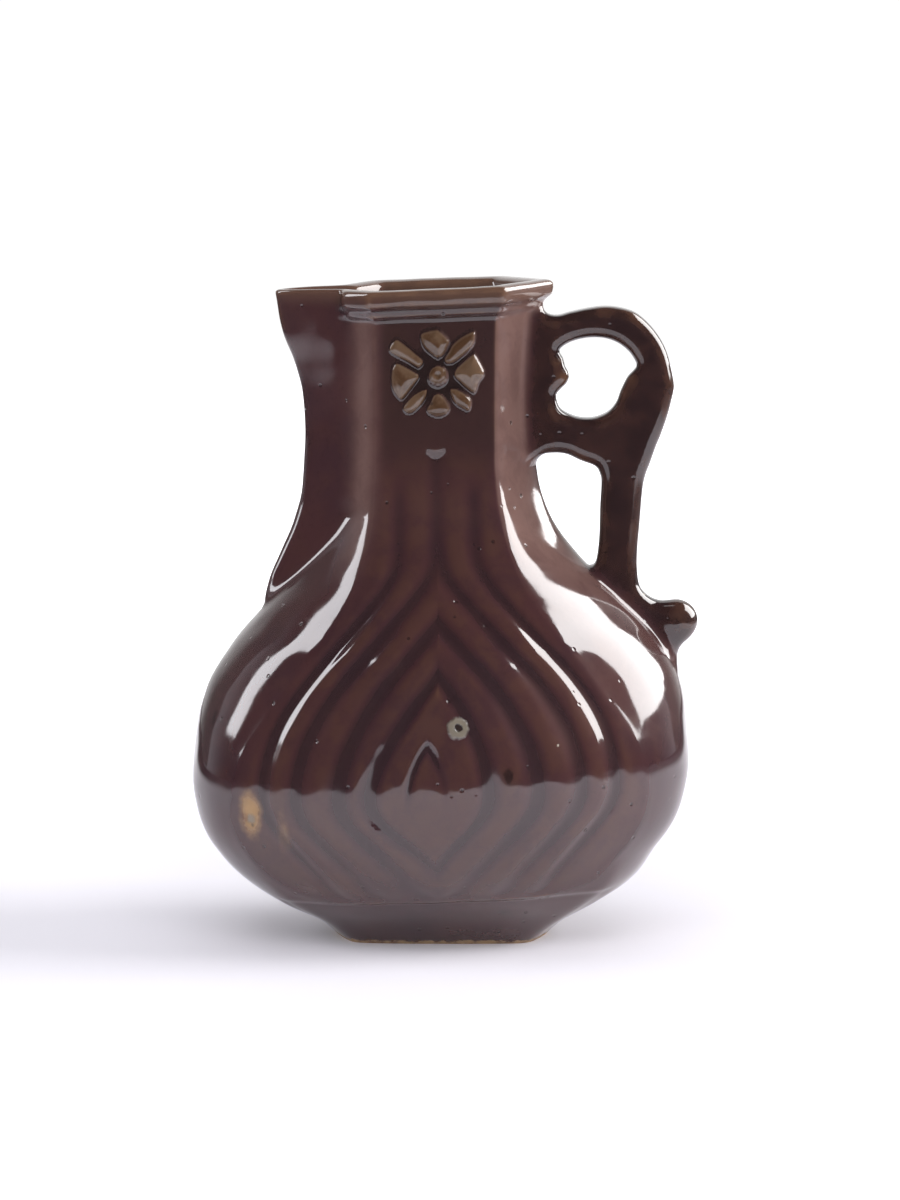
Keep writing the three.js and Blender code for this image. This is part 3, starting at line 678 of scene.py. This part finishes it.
def handle_distance(px, py, pz, d2=None):
    if d2 is None:
        d2 = flat_distance(px, pz)
    half = HANDLE_HALF + 0.15 * np.sin(pz * 0.11) - 1.1 * (1 - smooth(px, 22.5, 29.0)) * smooth(pz, 120, 126)
    rr = 3.0 + 1.4 * smooth(px, 50.0, 56.0) * (1 - smooth(pz, 88, 92))
    qx, qy = d2 + rr, np.abs(py) - half + rr
    bar = np.minimum(soft_max(qx, qy, 1.4), 0) + np.hypot(np.maximum(qx, 0), np.maximum(qy, 0)) - rr
    knob = np.sqrt((px - 58.6) ** 2 + py**2 + (pz - 79.3) ** 2) - 4.9
    f = soft_min(bar, knob, 2.0)
    b = body_distance(px, py, pz)
    joined = soft_min(f, b + 0.2, 3.2)
    return np.maximum(np.maximum(joined, f - 4.4), -(b + 2.2))


GX, GY, GZ = np.meshgrid(gx, gy, gz, indexing="ij")
d2 = flat_distance(GX[:, 0, :], GZ[:, 0, :])
field = handle_distance(GX, GY, GZ, np.repeat(d2[:, None, :], len(gy), 1))
field[0] = field[-1] = 5
field[:, 0] = field[:, -1] = 5
field[:, :, 0] = field[:, :, -1] = 5


def surface_net(f, ox, oy, oz, cell):
    """One vertex a crossed cell, one quad a crossed edge: a closed quad mesh of f = 0."""
    s = f < 0
    nx, ny, nz = f.shape
    total = np.zeros((nx - 1, ny - 1, nz - 1))
    acc = np.zeros((nx - 1, ny - 1, nz - 1, 3))

    def corner(dx, dy, dz, arr):
        return arr[dx:nx - 1 + dx, dy:ny - 1 + dy, dz:nz - 1 + dz]
    corners = [(a, b, c) for a in (0, 1) for b in (0, 1) for c in (0, 1)]
    for p in corners:
        for axis in range(3):
            if p[axis] == 1:
                continue
            q = list(p)
            q[axis] = 1
            fa, fb = corner(*p, f), corner(*q, f)
            cross = (fa < 0) != (fb < 0)
            t = np.where(cross, fa / np.where(cross, fa - fb, 1), 0)
            for k in range(3):
                acc[..., k] += np.where(cross, p[k] + (t if k == axis else 0), 0)
            total += cross
    has = total > 0
    ids = np.full(has.shape, -1, dtype=int)
    ids[has] = np.arange(int(has.sum()))
    cellpos = np.argwhere(has)
    pts = acc[has] / total[has][:, None] + cellpos
    pts = pts * cell + np.array([ox, oy, oz])
    quads = []
    for axis in range(3):
        a1, a2 = (axis + 1) % 3, (axis + 2) % 3
        sl = [slice(None)] * 3
        sl[axis] = slice(0, -1)
        sh = [slice(None)] * 3
        sh[axis] = slice(1, None)
        change = s[tuple(sl)] != s[tuple(sh)]
        where = np.argwhere(change)
        inside_first = s[tuple(sl)][change]
        ok = (where[:, a1] > 0) & (where[:, a2] > 0) & (where[:, a1] < f.shape[a1] - 1) & (where[:, a2] < f.shape[a2] - 1)
        where, inside_first = where[ok], inside_first[ok]

        def at(d1, d2):
            w = where.copy()
            w[:, a1] += d1
            w[:, a2] += d2
            return ids[w[:, 0], w[:, 1], w[:, 2]]
        q = np.stack([at(-1, -1), at(0, -1), at(0, 0), at(-1, 0)], -1)
        q[~inside_first] = q[~inside_first][:, ::-1]
        quads.append(q)
    return pts, np.concatenate(quads)


hp, hq = surface_net(field, gx[0], gy[0], gz[0], CELL)
for _ in range(3):  # settle the vertices onto the true surface
    e = 0.05
    f0 = handle_distance(hp[:, 0], hp[:, 1], hp[:, 2])
    g = np.stack([handle_distance(hp[:, 0] + (e if k == 0 else 0), hp[:, 1] + (e if k == 1 else 0), hp[:, 2] + (e if k == 2 else 0)) - f0
                  for k in range(3)], -1) / e
    step = f0[:, None] * g / np.maximum((g**2).sum(-1, keepdims=True), 0.25)
    hp = hp - np.clip(step, -0.35, 0.35) * 0.9
hp = hp + 0  # metres come next
handle = mesh_object("handle_clay", hp * 0.001, hq)

mod = body.modifiers.new("join", "BOOLEAN")
mod.operation = "UNION"
mod.object = handle
try:
    mod.solver = "MANIFOLD"
except TypeError:
    mod.solver = "EXACT"
bpy.context.view_layer.update()
dg = bpy.context.evaluated_depsgraph_get()
joined = bpy.data.meshes.new_from_object(body.evaluated_get(dg))
print("body faces", len(body.data.polygons), "handle faces", len(handle.data.polygons), "joined", len(joined.polygons), len(joined.vertices))
body.modifiers.clear()
body.data = joined
bpy.data.objects.remove(handle)
me = body.data
me.name = "jug_glazed"
me.polygons.foreach_set("use_smooth", [True] * len(me.polygons))

# ---------------------------------------------------------------- attributes: thin glaze on edges, pooled in grooves, and a painted pale reflection on the side bevels
n = len(me.vertices)
co = np.zeros(n * 3)
me.vertices.foreach_get("co", co)
co = co.reshape(-1, 3) * 1000
nv = np.zeros(n * 3)
me.vertices.foreach_get("normal", nv)
nv = nv.reshape(-1, 3)
ed = np.zeros(len(me.edges) * 2, dtype=int)
me.edges.foreach_get("vertices", ed)
ed = ed.reshape(-1, 2)
vec = co[ed[:, 1]] - co[ed[:, 0]]
ln = np.maximum(np.linalg.norm(vec, axis=1), 1e-4)
curv = np.zeros(n)
wsum = np.zeros(n)
ka = -(vec * nv[ed[:, 0]]).sum(1) / ln  # positive where the neighbour falls away: convex
kb = (vec * nv[ed[:, 1]]).sum(1) / ln
np.add.at(curv, ed[:, 0], ka)
np.add.at(curv, ed[:, 1], kb)
np.add.at(wsum, ed[:, 0], ln)
np.add.at(wsum, ed[:, 1], ln)
curv = curv / np.maximum(wsum, 1e-6)


def spread(v, rounds):
    for _ in range(rounds):
        acc = np.zeros(n)
        cnt = np.zeros(n)
        np.add.at(acc, ed[:, 0], v[ed[:, 1]])
        np.add.at(acc, ed[:, 1], v[ed[:, 0]])
        np.add.at(cnt, ed[:, 0], 1)
        np.add.at(cnt, ed[:, 1], 1)
        v = 0.4 * v + 0.6 * acc / np.maximum(cnt, 1)
    return v


curv = spread(np.clip(curv, -0.5, 0.5), 3)
attr = me.attributes.new("edge", "FLOAT", "POINT")
attr.data.foreach_set("value", np.clip(curv * 4.0, -1, 1).astype(np.float32))
z0 = co[:, 2] - co[:, 0] * RING_TILT * smooth(co[:, 2], 0, 14)
x0 = co[:, 0] - NECK_LEAN * smooth(z0, 70, 120)
front_v = (co[:, 1] < 0) & (nv[:, 1] < -0.3) & (np.abs(x0) < corner_at(z0) + 2)
back_v = (co[:, 1] > 0) & (nv[:, 1] > 0.3) & (np.abs(x0) < corner_at(z0) + 2)
raised = np.zeros(n)
raised[front_v] = -flute_share(x0[front_v], z0[front_v], False)
raised[front_v] -= 0.6 * leaf_share(x0[front_v], z0[front_v])
raised[back_v] = -flute_share(x0[back_v], z0[back_v], True)
raised += np.where(front_v, np.clip(rosette_relief(x0, z0) / 1.2, -0.3, 1), 0)
field_v = np.zeros(n)
field_v[front_v | back_v] = (smooth(inside_border(x0, z0), 0.0, 4.0) * (1 - smooth(z0, FLUTE_TOP - 6, FLUTE_TOP + 2)))[front_v | back_v]
attr = me.attributes.new("raised", "FLOAT", "POINT")
attr.data.foreach_set("value", raised.astype(np.float32))
attr = me.attributes.new("field", "FLOAT", "POINT")
attr.data.foreach_set("value", field_v.astype(np.float32))
grip = smooth(body_distance(co[:, 0], co[:, 1], co[:, 2]), 0.6, 3.0) * (co[:, 0] > 14) * (co[:, 2] > 60) * (np.abs(co[:, 1]) < 7)
grip = spread(grip.astype(float), 4)
attr = me.attributes.new("grip", "FLOAT", "POINT")
attr.data.foreach_set("value", grip.astype(np.float32))
# painted reflection: neck and shoulder faces turned to the right, and a strip left of the broad face's left corner,
# get a pale pinkish colour standing in for the mirrored floor and backdrop
side_n = smooth(nv[:, 0], 0.3, 0.65) * (1 - smooth(nv[:, 0], 0.93, 0.99))
painted_sheen = side_n * (co[:, 0] > 0) * (0.25 + 0.75 * smooth(z0, 70, 104)) * smooth(z0, 44, 60)
strip = np.exp(-((-x0 - corner_at(z0) - 2.8) / 3.0) ** 2) * smooth(z0, 84, 112) * (z0 < 156) * (np.abs(co[:, 1]) > 4)
painted_sheen = np.clip(painted_sheen + 0.9 * strip, 0, 1) * (1 - grip)
painted_sheen = spread(painted_sheen.astype(float), 3)
attr = me.attributes.new("thin_glaze_and_sheen", "FLOAT", "POINT")
attr.data.foreach_set("value", painted_sheen.astype(np.float32))
print("curvature percentiles", np.round(np.percentile(curv, [1, 5, 25, 50, 75, 95, 99]), 4))

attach(body, "root")
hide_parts("jug")


# ---------------------------------------------------------------- material
def new_material(name):
    mat = bpy.data.materials.new(name)
    mat.use_nodes = True
    nt = mat.node_tree
    nt.nodes.clear()
    return mat, nt


class Nodes:
    """Short spellings for building a node tree."""

    def __init__(self, nt):
        self.nt = nt

    def add(self, kind, **kw):
        nd = self.nt.nodes.new(kind)
        for k, v in kw.items():
            setattr(nd, k, v)
        return nd

    def put(self, socket, value):
        if isinstance(value, bpy.types.NodeSocket):
            self.nt.links.new(value, socket)
        elif value is not None:
            socket.default_value = value

    def math(self, op, a, b=None, c=None, clamp=False):
        nd = self.add("ShaderNodeMath", operation=op, use_clamp=clamp)
        for i, v in enumerate((a, b, c)):
            if v is not None:
                self.put(nd.inputs[i], v)
        return nd.outputs[0]

    def vmath(self, op, a, b=None, scale=None):
        nd = self.add("ShaderNodeVectorMath", operation=op)
        self.put(nd.inputs[0], a)
        if b is not None:
            self.put(nd.inputs[1], b)
        if scale is not None:
            nd.inputs["Scale"].default_value = scale
        return nd.outputs["Value"] if op in ("DISTANCE", "LENGTH", "DOT_PRODUCT") else nd.outputs[0]

    def noise(self, vec, scale, detail=3.0, rough=0.55, distortion=0.0, dims="3D"):
        nd = self.add("ShaderNodeTexNoise", noise_dimensions=dims)
        self.put(nd.inputs["Vector"], vec)
        nd.inputs["Scale"].default_value = scale
        nd.inputs["Detail"].default_value = detail
        nd.inputs["Roughness"].default_value = rough
        nd.inputs["Distortion"].default_value = distortion
        return nd.outputs[0]

    def voronoi(self, vec, scale, feature="F1", randomness=1.0):
        nd = self.add("ShaderNodeTexVoronoi", feature=feature)
        self.put(nd.inputs["Vector"], vec)
        nd.inputs["Scale"].default_value = scale
        nd.inputs["Randomness"].default_value = randomness
        return nd

    def ramp(self, fac, lo, hi, out_lo=0.0, out_hi=1.0, smooth_=True):
        nd = self.add("ShaderNodeMapRange", interpolation_type="SMOOTHSTEP" if smooth_ else "LINEAR", clamp=True)
        self.put(nd.inputs["Value"], fac)
        for k, v in (("From Min", lo), ("From Max", hi), ("To Min", out_lo), ("To Max", out_hi)):
            nd.inputs[k].default_value = v
        return nd.outputs["Result"]

    def mix(self, fac, a, b, blend="MIX"):
        nd = self.add("ShaderNodeMix", data_type="RGBA", blend_type=blend, clamp_factor=True)
        self.put(nd.inputs[0], fac)
        self.put(nd.inputs[6], a)
        self.put(nd.inputs[7], b)
        return nd.outputs[2]


def srgb(r, g, b):
    def f(v):
        v = v / 255
        return v / 12.92 if v <= 0.04045 else ((v + 0.055) / 1.055) ** 2.4
    return (f(r), f(g), f(b), 1.0)


mat, nt = new_material("brown_glaze")
N = Nodes(nt)
coords = N.add("ShaderNodeTexCoord").outputs["Object"]
sep = N.add("ShaderNodeSeparateXYZ")
nt.links.new(coords, sep.inputs[0])
X, Y, Z = sep.outputs
edge = N.add("ShaderNodeAttribute", attribute_name="edge").outputs["Fac"]

raised_a = N.add("ShaderNodeAttribute", attribute_name="raised").outputs["Fac"]
field_a = N.add("ShaderNodeAttribute", attribute_name="field").outputs["Fac"]
# broad mottling of the glaze: purplish brown, reddish brown, dark pooled brown
cloud = N.noise(coords, 42.0, 3.0, 0.6)
cloud2 = N.noise(coords, 140.0, 4.0, 0.6, 0.4)
fine = N.noise(coords, 700.0, 3.0, 0.6)
base_c = N.mix(N.ramp(cloud, 0.36, 0.64), srgb(64, 42, 46), srgb(72, 46, 47))
base_c = N.mix(N.ramp(cloud2, 0.46, 0.72, 0.0, 0.4), base_c, srgb(76, 50, 46))
base_c = N.mix(N.ramp(fine, 0.52, 0.75, 0.0, 0.22), base_c, srgb(46, 30, 32))
# crests of the flutes: thin reddish glaze; furrows: pooled, dark and greyish
crest = N.math("MULTIPLY", field_a, N.ramp(raised_a, -0.5, -0.02))
base_c = N.mix(N.math("MULTIPLY", crest, N.ramp(cloud2, 0.34, 0.6, 0.15, 0.7)), base_c, srgb(79, 53, 47))
base_c = N.mix(N.ramp(raised_a, -0.3, -1.0, 0.0, 0.68), base_c, srgb(46, 34, 37))
base_c = N.mix(N.ramp(edge, -0.08, -0.6, 0.0, 0.6), base_c, srgb(38, 26, 28))
panel = N.math("MULTIPLY", N.ramp(Z, 0.112, 0.130), N.ramp(N.math("ABSOLUTE", X), 0.0155, 0.0135))
base_c = N.mix(N.math("MULTIPLY", panel, 0.6), base_c, srgb(54, 40, 37))
# painted reflection: the pale pinkish colour on the right-facing bevels and the left strip
painted_sheen_a = N.add("ShaderNodeAttribute", attribute_name="thin_glaze_and_sheen").outputs["Fac"]
base_c = N.mix(N.math("MULTIPLY", painted_sheen_a, N.ramp(cloud2, 0.3, 0.62, 0.7, 0.95)), base_c, srgb(124, 97, 91))
# the handle carries the thickest, darkest glaze, and is darkened further as painted shade for the dark surroundings it
# mirrors
grip_a = N.add("ShaderNodeAttribute", attribute_name="grip").outputs["Fac"]
base_c = N.mix(N.math("MULTIPLY", grip_a, 0.8), base_c, N.mix(N.ramp(cloud2, 0.38, 0.64), srgb(38, 28, 28), srgb(56, 38, 35)))
# thin glaze over raised edges shows the warm body
thin_glaze_and_sheen = N.math("MULTIPLY", N.ramp(edge, 0.12, 0.75), N.ramp(cloud2, 0.34, 0.58, 0.3, 1.0))
base_c = N.mix(N.math("MULTIPLY", thin_glaze_and_sheen, 0.7), base_c, srgb(112, 80, 60))
petal = N.ramp(raised_a, 0.12, 0.7)
pool = N.math("MULTIPLY", N.ramp(Z, 0.127, 0.131), N.ramp(raised_a, -0.03, -0.2))
base_c = N.mix(N.math("MULTIPLY", pool, 0.75), base_c, srgb(40, 30, 29))
petal_c = N.mix(N.ramp(raised_a, 0.35, 0.95), srgb(116, 94, 76), srgb(82, 58, 40))
base_c = N.mix(N.math("MULTIPLY", petal, 0.9), base_c, N.mix(N.ramp(cloud2, 0.42, 0.62, 0.0, 0.5), petal_c, srgb(120, 98, 78)))


def near(p, radius, soft, wob=None, stretch=(1, 1, 1)):
    """1 inside a spot round point p (mm), 0 outside."""
    q = N.vmath("SUBTRACT", coords, tuple(v * 0.001 for v in p))
    q = N.vmath("MULTIPLY", q, tuple(1.0 / s for s in stretch))
    d = N.vmath("LENGTH", q)
    if wob is not None:
        d = N.math("ADD", d, N.math("MULTIPLY", N.math("SUBTRACT", wob, 0.5), 0.002))
    return N.ramp(d, (radius + soft) * 0.001, (radius - soft) * 0.001), d


# the rim and the lip moulding carry thinner, browner glaze, lightened further as a painted reflection of the pale
# backdrop
rim_band = N.ramp(Z, 0.1575, 0.1625)
base_c = N.mix(N.math("MULTIPLY", rim_band, 0.55), base_c, srgb(112, 86, 72))
wob_n = N.noise(coords, 420.0, 4.0, 0.65)
# bare ochre patch on the left of the belly, and its streak
patch, _ = near((-46.3, -33.6, 35.3), 2.6, 1.6, wob_n, (1.0, 1.0, 1.9))
streak, _ = near((-38.2, -38.2, 31.0), 1.6, 1.4, wob_n, (1.0, 1.0, 3.0))
ochre = N.mix(N.ramp(cloud2, 0.4, 0.6), srgb(124, 86, 50), srgb(168, 132, 88))
base_c = N.mix(patch, base_c, ochre)
base_c = N.mix(N.math("MULTIPLY", streak, 0.35), base_c, ochre)
pit, pit_d = near((-46.1, -33.8, 34.3), 1.3, 0.5, wob_n)
base_c = N.mix(N.math("MULTIPLY", pit, 0.8), base_c, srgb(128, 122, 112))
# ring blister
blob, ring_d = near((5.0, -48.2, 59.0), 2.5, 0.45, wob_n)
hole = N.ramp(ring_d, 0.0011, 0.0007)
ring_c = N.mix(hole, srgb(122, 114, 102), srgb(48, 38, 36))
base_c = N.mix(blob, base_c, ring_c)
for p, r in (((15.7, -26.9, 9.7), 1.4), ((17.2, -48.3, 47.0), 1.2), ((-54.9, -17.5, 56.0), 1.6)):
    spot, _ = near(p, r, 0.7, wob_n, (1.0, 1.0, 1.5))
    base_c = N.mix(N.math("MULTIPLY", spot, 0.8), base_c, srgb(30, 20, 20))
# specks: few pale ones and some dark pits
vor = N.voronoi(coords, 135.0)
pale_size = N.ramp(vor.outputs["Distance"], 0.055, 0.025)
pick = N.add("ShaderNodeSeparateColor")
nt.links.new(vor.outputs["Color"], pick.inputs[0])
pale = N.math("MULTIPLY", pale_size, N.ramp(pick.outputs[0], 0.80, 0.84))
base_c = N.mix(N.math("MULTIPLY", pale, 0.75), base_c, srgb(176, 160, 142))
vor2 = N.voronoi(coords, 240.0)
pick2 = N.add("ShaderNodeSeparateColor")
nt.links.new(vor2.outputs["Color"], pick2.inputs[0])
dark_pit = N.math("MULTIPLY", N.ramp(vor2.outputs["Distance"], 0.16, 0.06), N.ramp(pick2.outputs[1], 0.72, 0.78))
base_c = N.mix(N.math("MULTIPLY", dark_pit, 0.55), base_c, srgb(34, 24, 24))

# unglazed underside and foot edge
low = N.math("ADD", Z, N.math("MULTIPLY", N.math("SUBTRACT", wob_n, 0.5), 0.0022))
bare_foot = N.ramp(low, 0.0012, 0.0004)
clay = N.mix(N.ramp(wob_n, 0.4, 0.65), srgb(176, 146, 108), srgb(142, 108, 78))
base_c = N.mix(bare_foot, base_c, clay)
bare = N.math("MAXIMUM", bare_foot, N.math("MULTIPLY", patch, 0.55))

rough = N.math("ADD", N.ramp(cloud2, 0.3, 0.7, 0.06, 0.11), N.math("MULTIPLY", bare, 0.5))
rough = N.math("ADD", rough, N.math("MULTIPLY", N.ramp(fine, 0.6, 0.8), 0.03))

# bump: slow waves of the glaze, orange peel, pits, the faults
h1 = N.math("MULTIPLY", N.noise(coords, 80.0, 1.0, 0.5), 0.00008)
h2 = N.math("MULTIPLY", N.noise(coords, 300.0, 1.0, 0.5), 0.000008)
h3 = N.math("MULTIPLY", fine, 0.000002)
h = N.math("ADD", N.math("ADD", h1, h2), h3)
h = N.math("SUBTRACT", h, N.math("MULTIPLY", dark_pit, 0.00012))
h = N.math("ADD", h, N.math("MULTIPLY", pale, 0.00008))
rr = N.math("MULTIPLY", blob, 0.0004)
h = N.math("ADD", h, N.math("SUBTRACT", rr, N.math("MULTIPLY", hole, 0.0005)))
h = N.math("SUBTRACT", h, N.math("MULTIPLY", pit, 0.0003))
h = N.math("SUBTRACT", h, N.math("MULTIPLY", bare, 0.0002))
h = N.math("ADD", h, N.math("MULTIPLY", N.math("MULTIPLY", bare, wob_n), 0.0003))
bump = N.add("ShaderNodeBump")
bump.inputs["Strength"].default_value = 1.0
bump.inputs["Distance"].default_value = 1.0
nt.links.new(h, bump.inputs["Height"])

bsdf = N.add("ShaderNodeBsdfPrincipled")
nt.links.new(base_c, bsdf.inputs["Base Color"])
nt.links.new(rough, bsdf.inputs["Roughness"])
nt.links.new(bump.outputs[0], bsdf.inputs["Normal"])
bsdf.inputs["IOR"].default_value = 1.78
out = N.add("ShaderNodeOutputMaterial")
nt.links.new(bsdf.outputs[0], out.inputs[0])
me.materials.clear()
me.materials.append(mat)

# ---------------------------------------------------------------- stage
def plane(name, centre, size, rot=(0, 0, 0), mat_=None):
    sx, sy = size[0] / 2, size[1] / 2
    m = bpy.data.meshes.new(name)
    m.from_pydata([(-sx, -sy, 0), (sx, -sy, 0), (sx, sy, 0), (-sx, sy, 0)], [], [(0, 1, 2, 3)])
    ob = bpy.data.objects.new(name, m)
    ob.location = centre
    ob.rotation_euler = rot
    bpy.context.scene.collection.objects.link(ob)
    if mat_:
        m.materials.append(mat_)
    return ob


floor_mat, fnt = new_material("pale_floor")
F = Nodes(fnt)
fb = F.add("ShaderNodeBsdfPrincipled")
fco = F.add("ShaderNodeTexCoord").outputs["Object"]
fsep = F.add("ShaderNodeSeparateXYZ")
fnt.links.new(fco, fsep.inputs[0])
# painted shade: the floor turns dark grey to the sides, standing in for the unlit room beyond the table, and its glow
# is cut there
aside = F.ramp(F.math("ABSOLUTE", fsep.outputs[0]), 0.27, 0.50)
fcol = F.mix(F.noise(fco, 6.0, 2.0), srgb(246, 244, 253), srgb(243, 241, 251))
fcol = F.mix(aside, fcol, srgb(70, 66, 72))
fnt.links.new(fcol, fb.inputs["Base Color"])
fb.inputs["Roughness"].default_value = 0.75
fb.inputs["Specular IOR Level"].default_value = 0.15
# painted light: the floor's emission makes the sweep glow towards the backdrop, and faintly even near the jug
glow = F.ramp(fsep.outputs[1], -0.52, 0.0, 0.07, 0.85)
fb.inputs["Emission Color"].default_value = (1, 1, 1, 1)
fnt.links.new(F.math("MULTIPLY", glow, F.math("SUBTRACT", 1.0, aside)), fb.inputs["Emission Strength"])
fnt.links.new(fb.outputs[0], F.add("ShaderNodeOutputMaterial").inputs[0])
FLOOR_NEAR, FLOOR_FAR = -0.46, 1.6
floor = plane("stage_floor", (0, (FLOOR_NEAR + FLOOR_FAR) / 2, 0), (3.2, FLOOR_FAR - FLOOR_NEAR), mat_=floor_mat)
back_mat, bnt = new_material("white_backdrop")
Bn = Nodes(bnt)
em = Bn.add("ShaderNodeEmission")
em.inputs["Color"].default_value = (1.0, 1.0, 1.0, 1)
bsep = Bn.add("ShaderNodeSeparateXYZ")
bnt.links.new(Bn.add("ShaderNodeTexCoord").outputs["Object"], bsep.inputs[0])
bnt.links.new(Bn.ramp(Bn.math("ABSOLUTE", bsep.outputs[0]), 0.4, 1.5, 1.03, 0.12), em.inputs["Strength"])
bnt.links.new(em.outputs[0], Bn.add("ShaderNodeOutputMaterial").inputs[0])
backdrop = plane("stage_backdrop", (0, FLOOR_FAR, 1.1), (4.4, 2.2), (math.radians(90), 0, 0), back_mat)

world = bpy.data.worlds.new("studio")
world.use_nodes = True
# the room: dark in front, paler towards the sides and the back
W = Nodes(world.node_tree)
wdir = W.add("ShaderNodeTexCoord").outputs["Generated"]
wsep = W.add("ShaderNodeSeparateXYZ")
world.node_tree.links.new(wdir, wsep.inputs[0])
wall = W.ramp(wsep.outputs[1], 0.1, 0.95, 0.03, 0.85)
wall = W.math("MULTIPLY", wall, W.ramp(wsep.outputs[2], 0.75, 0.35, 0.12, 1.0))
bg = world.node_tree.nodes["Background"]
bg.inputs[0].default_value = (0.94, 0.93, 1.0, 1)
world.node_tree.links.new(wall, bg.inputs[1])
bpy.context.scene.world = world


def softbox(name, az_deg, el_deg, dist, width, height, radiance, color, glossy=True, diffuse=True, shape="RECTANGLE"):
    """Area light towards the jug: azimuth from the camera side with right positive, and elevation."""
    a_, e_ = math.radians(az_deg), math.radians(el_deg)
    target = Vector((0, 0, 0.09))
    loc = target + Vector((math.sin(a_) * math.cos(e_), -math.cos(a_) * math.cos(e_), math.sin(e_))) * dist
    data = bpy.data.lights.new(name, "AREA")
    data.shape = shape
    data.size, data.size_y = width, height
    data.energy = radiance * math.pi * width * height * (math.pi / 4 if shape == "ELLIPSE" else 1)
    data.color = color
    ob = bpy.data.objects.new(name, data)
    ob.location = loc
    ob.rotation_euler = (target - loc).to_track_quat("-Z", "Y").to_euler()
    ob.visible_glossy = glossy
    ob.visible_diffuse = diffuse
    bpy.context.scene.collection.objects.link(ob)
    return ob


# windows of light that the glaze mirrors
softbox("mirror_right", 110, 31, 1.15, 0.94, 0.94, 8.2, (1.0, 0.985, 0.98), diffuse=False)
softbox("mirror_left", -102, 30, 1.15, 0.25, 0.90, 5.8, (0.96, 0.96, 1.0), diffuse=False)
# soft light that falls on the clay and the floor
softbox("key_right", 90, 22, 1.3, 0.8, 0.7, 9.3, (1.0, 0.99, 0.96), glossy=False)
softbox("key_left", -93, 25, 1.3, 0.85, 0.75, 2.2, (0.98, 0.98, 1.0), glossy=False)
softbox("fill_front", 0, 32, 1.5, 1.5, 1.3, 2.6, (1.0, 0.99, 1.0), glossy=False)
softbox("fill_top", 0, 89, 1.8, 2.2, 2.2, 0.85, (0.99, 0.99, 1.0), glossy=False)

# ---------------------------------------------------------------- camera
cam_data = bpy.data.cameras.new("camera")
cam = bpy.data.objects.new("camera", cam_data)
bpy.context.scene.collection.objects.link(cam)
AIM = Vector((0.0021, 0.0, 0.0843))
el, az, dist = math.radians(7.2), math.radians(1.0), 1.62
cam.location = AIM + Vector((math.sin(az) * math.cos(el), -math.cos(az) * math.cos(el), math.sin(el))) * dist
cam.rotation_euler = (AIM - cam.location).to_track_quat("-Z", "Y").to_euler()
cam_data.sensor_fit = "VERTICAL"
cam_data.sensor_height = 24.0
cam_data.lens = 24.0 * 6480 / 1200
cam_data.clip_end = 20
bpy.context.scene.camera = cam
bpy.context.scene.view_settings.view_transform = "Standard"
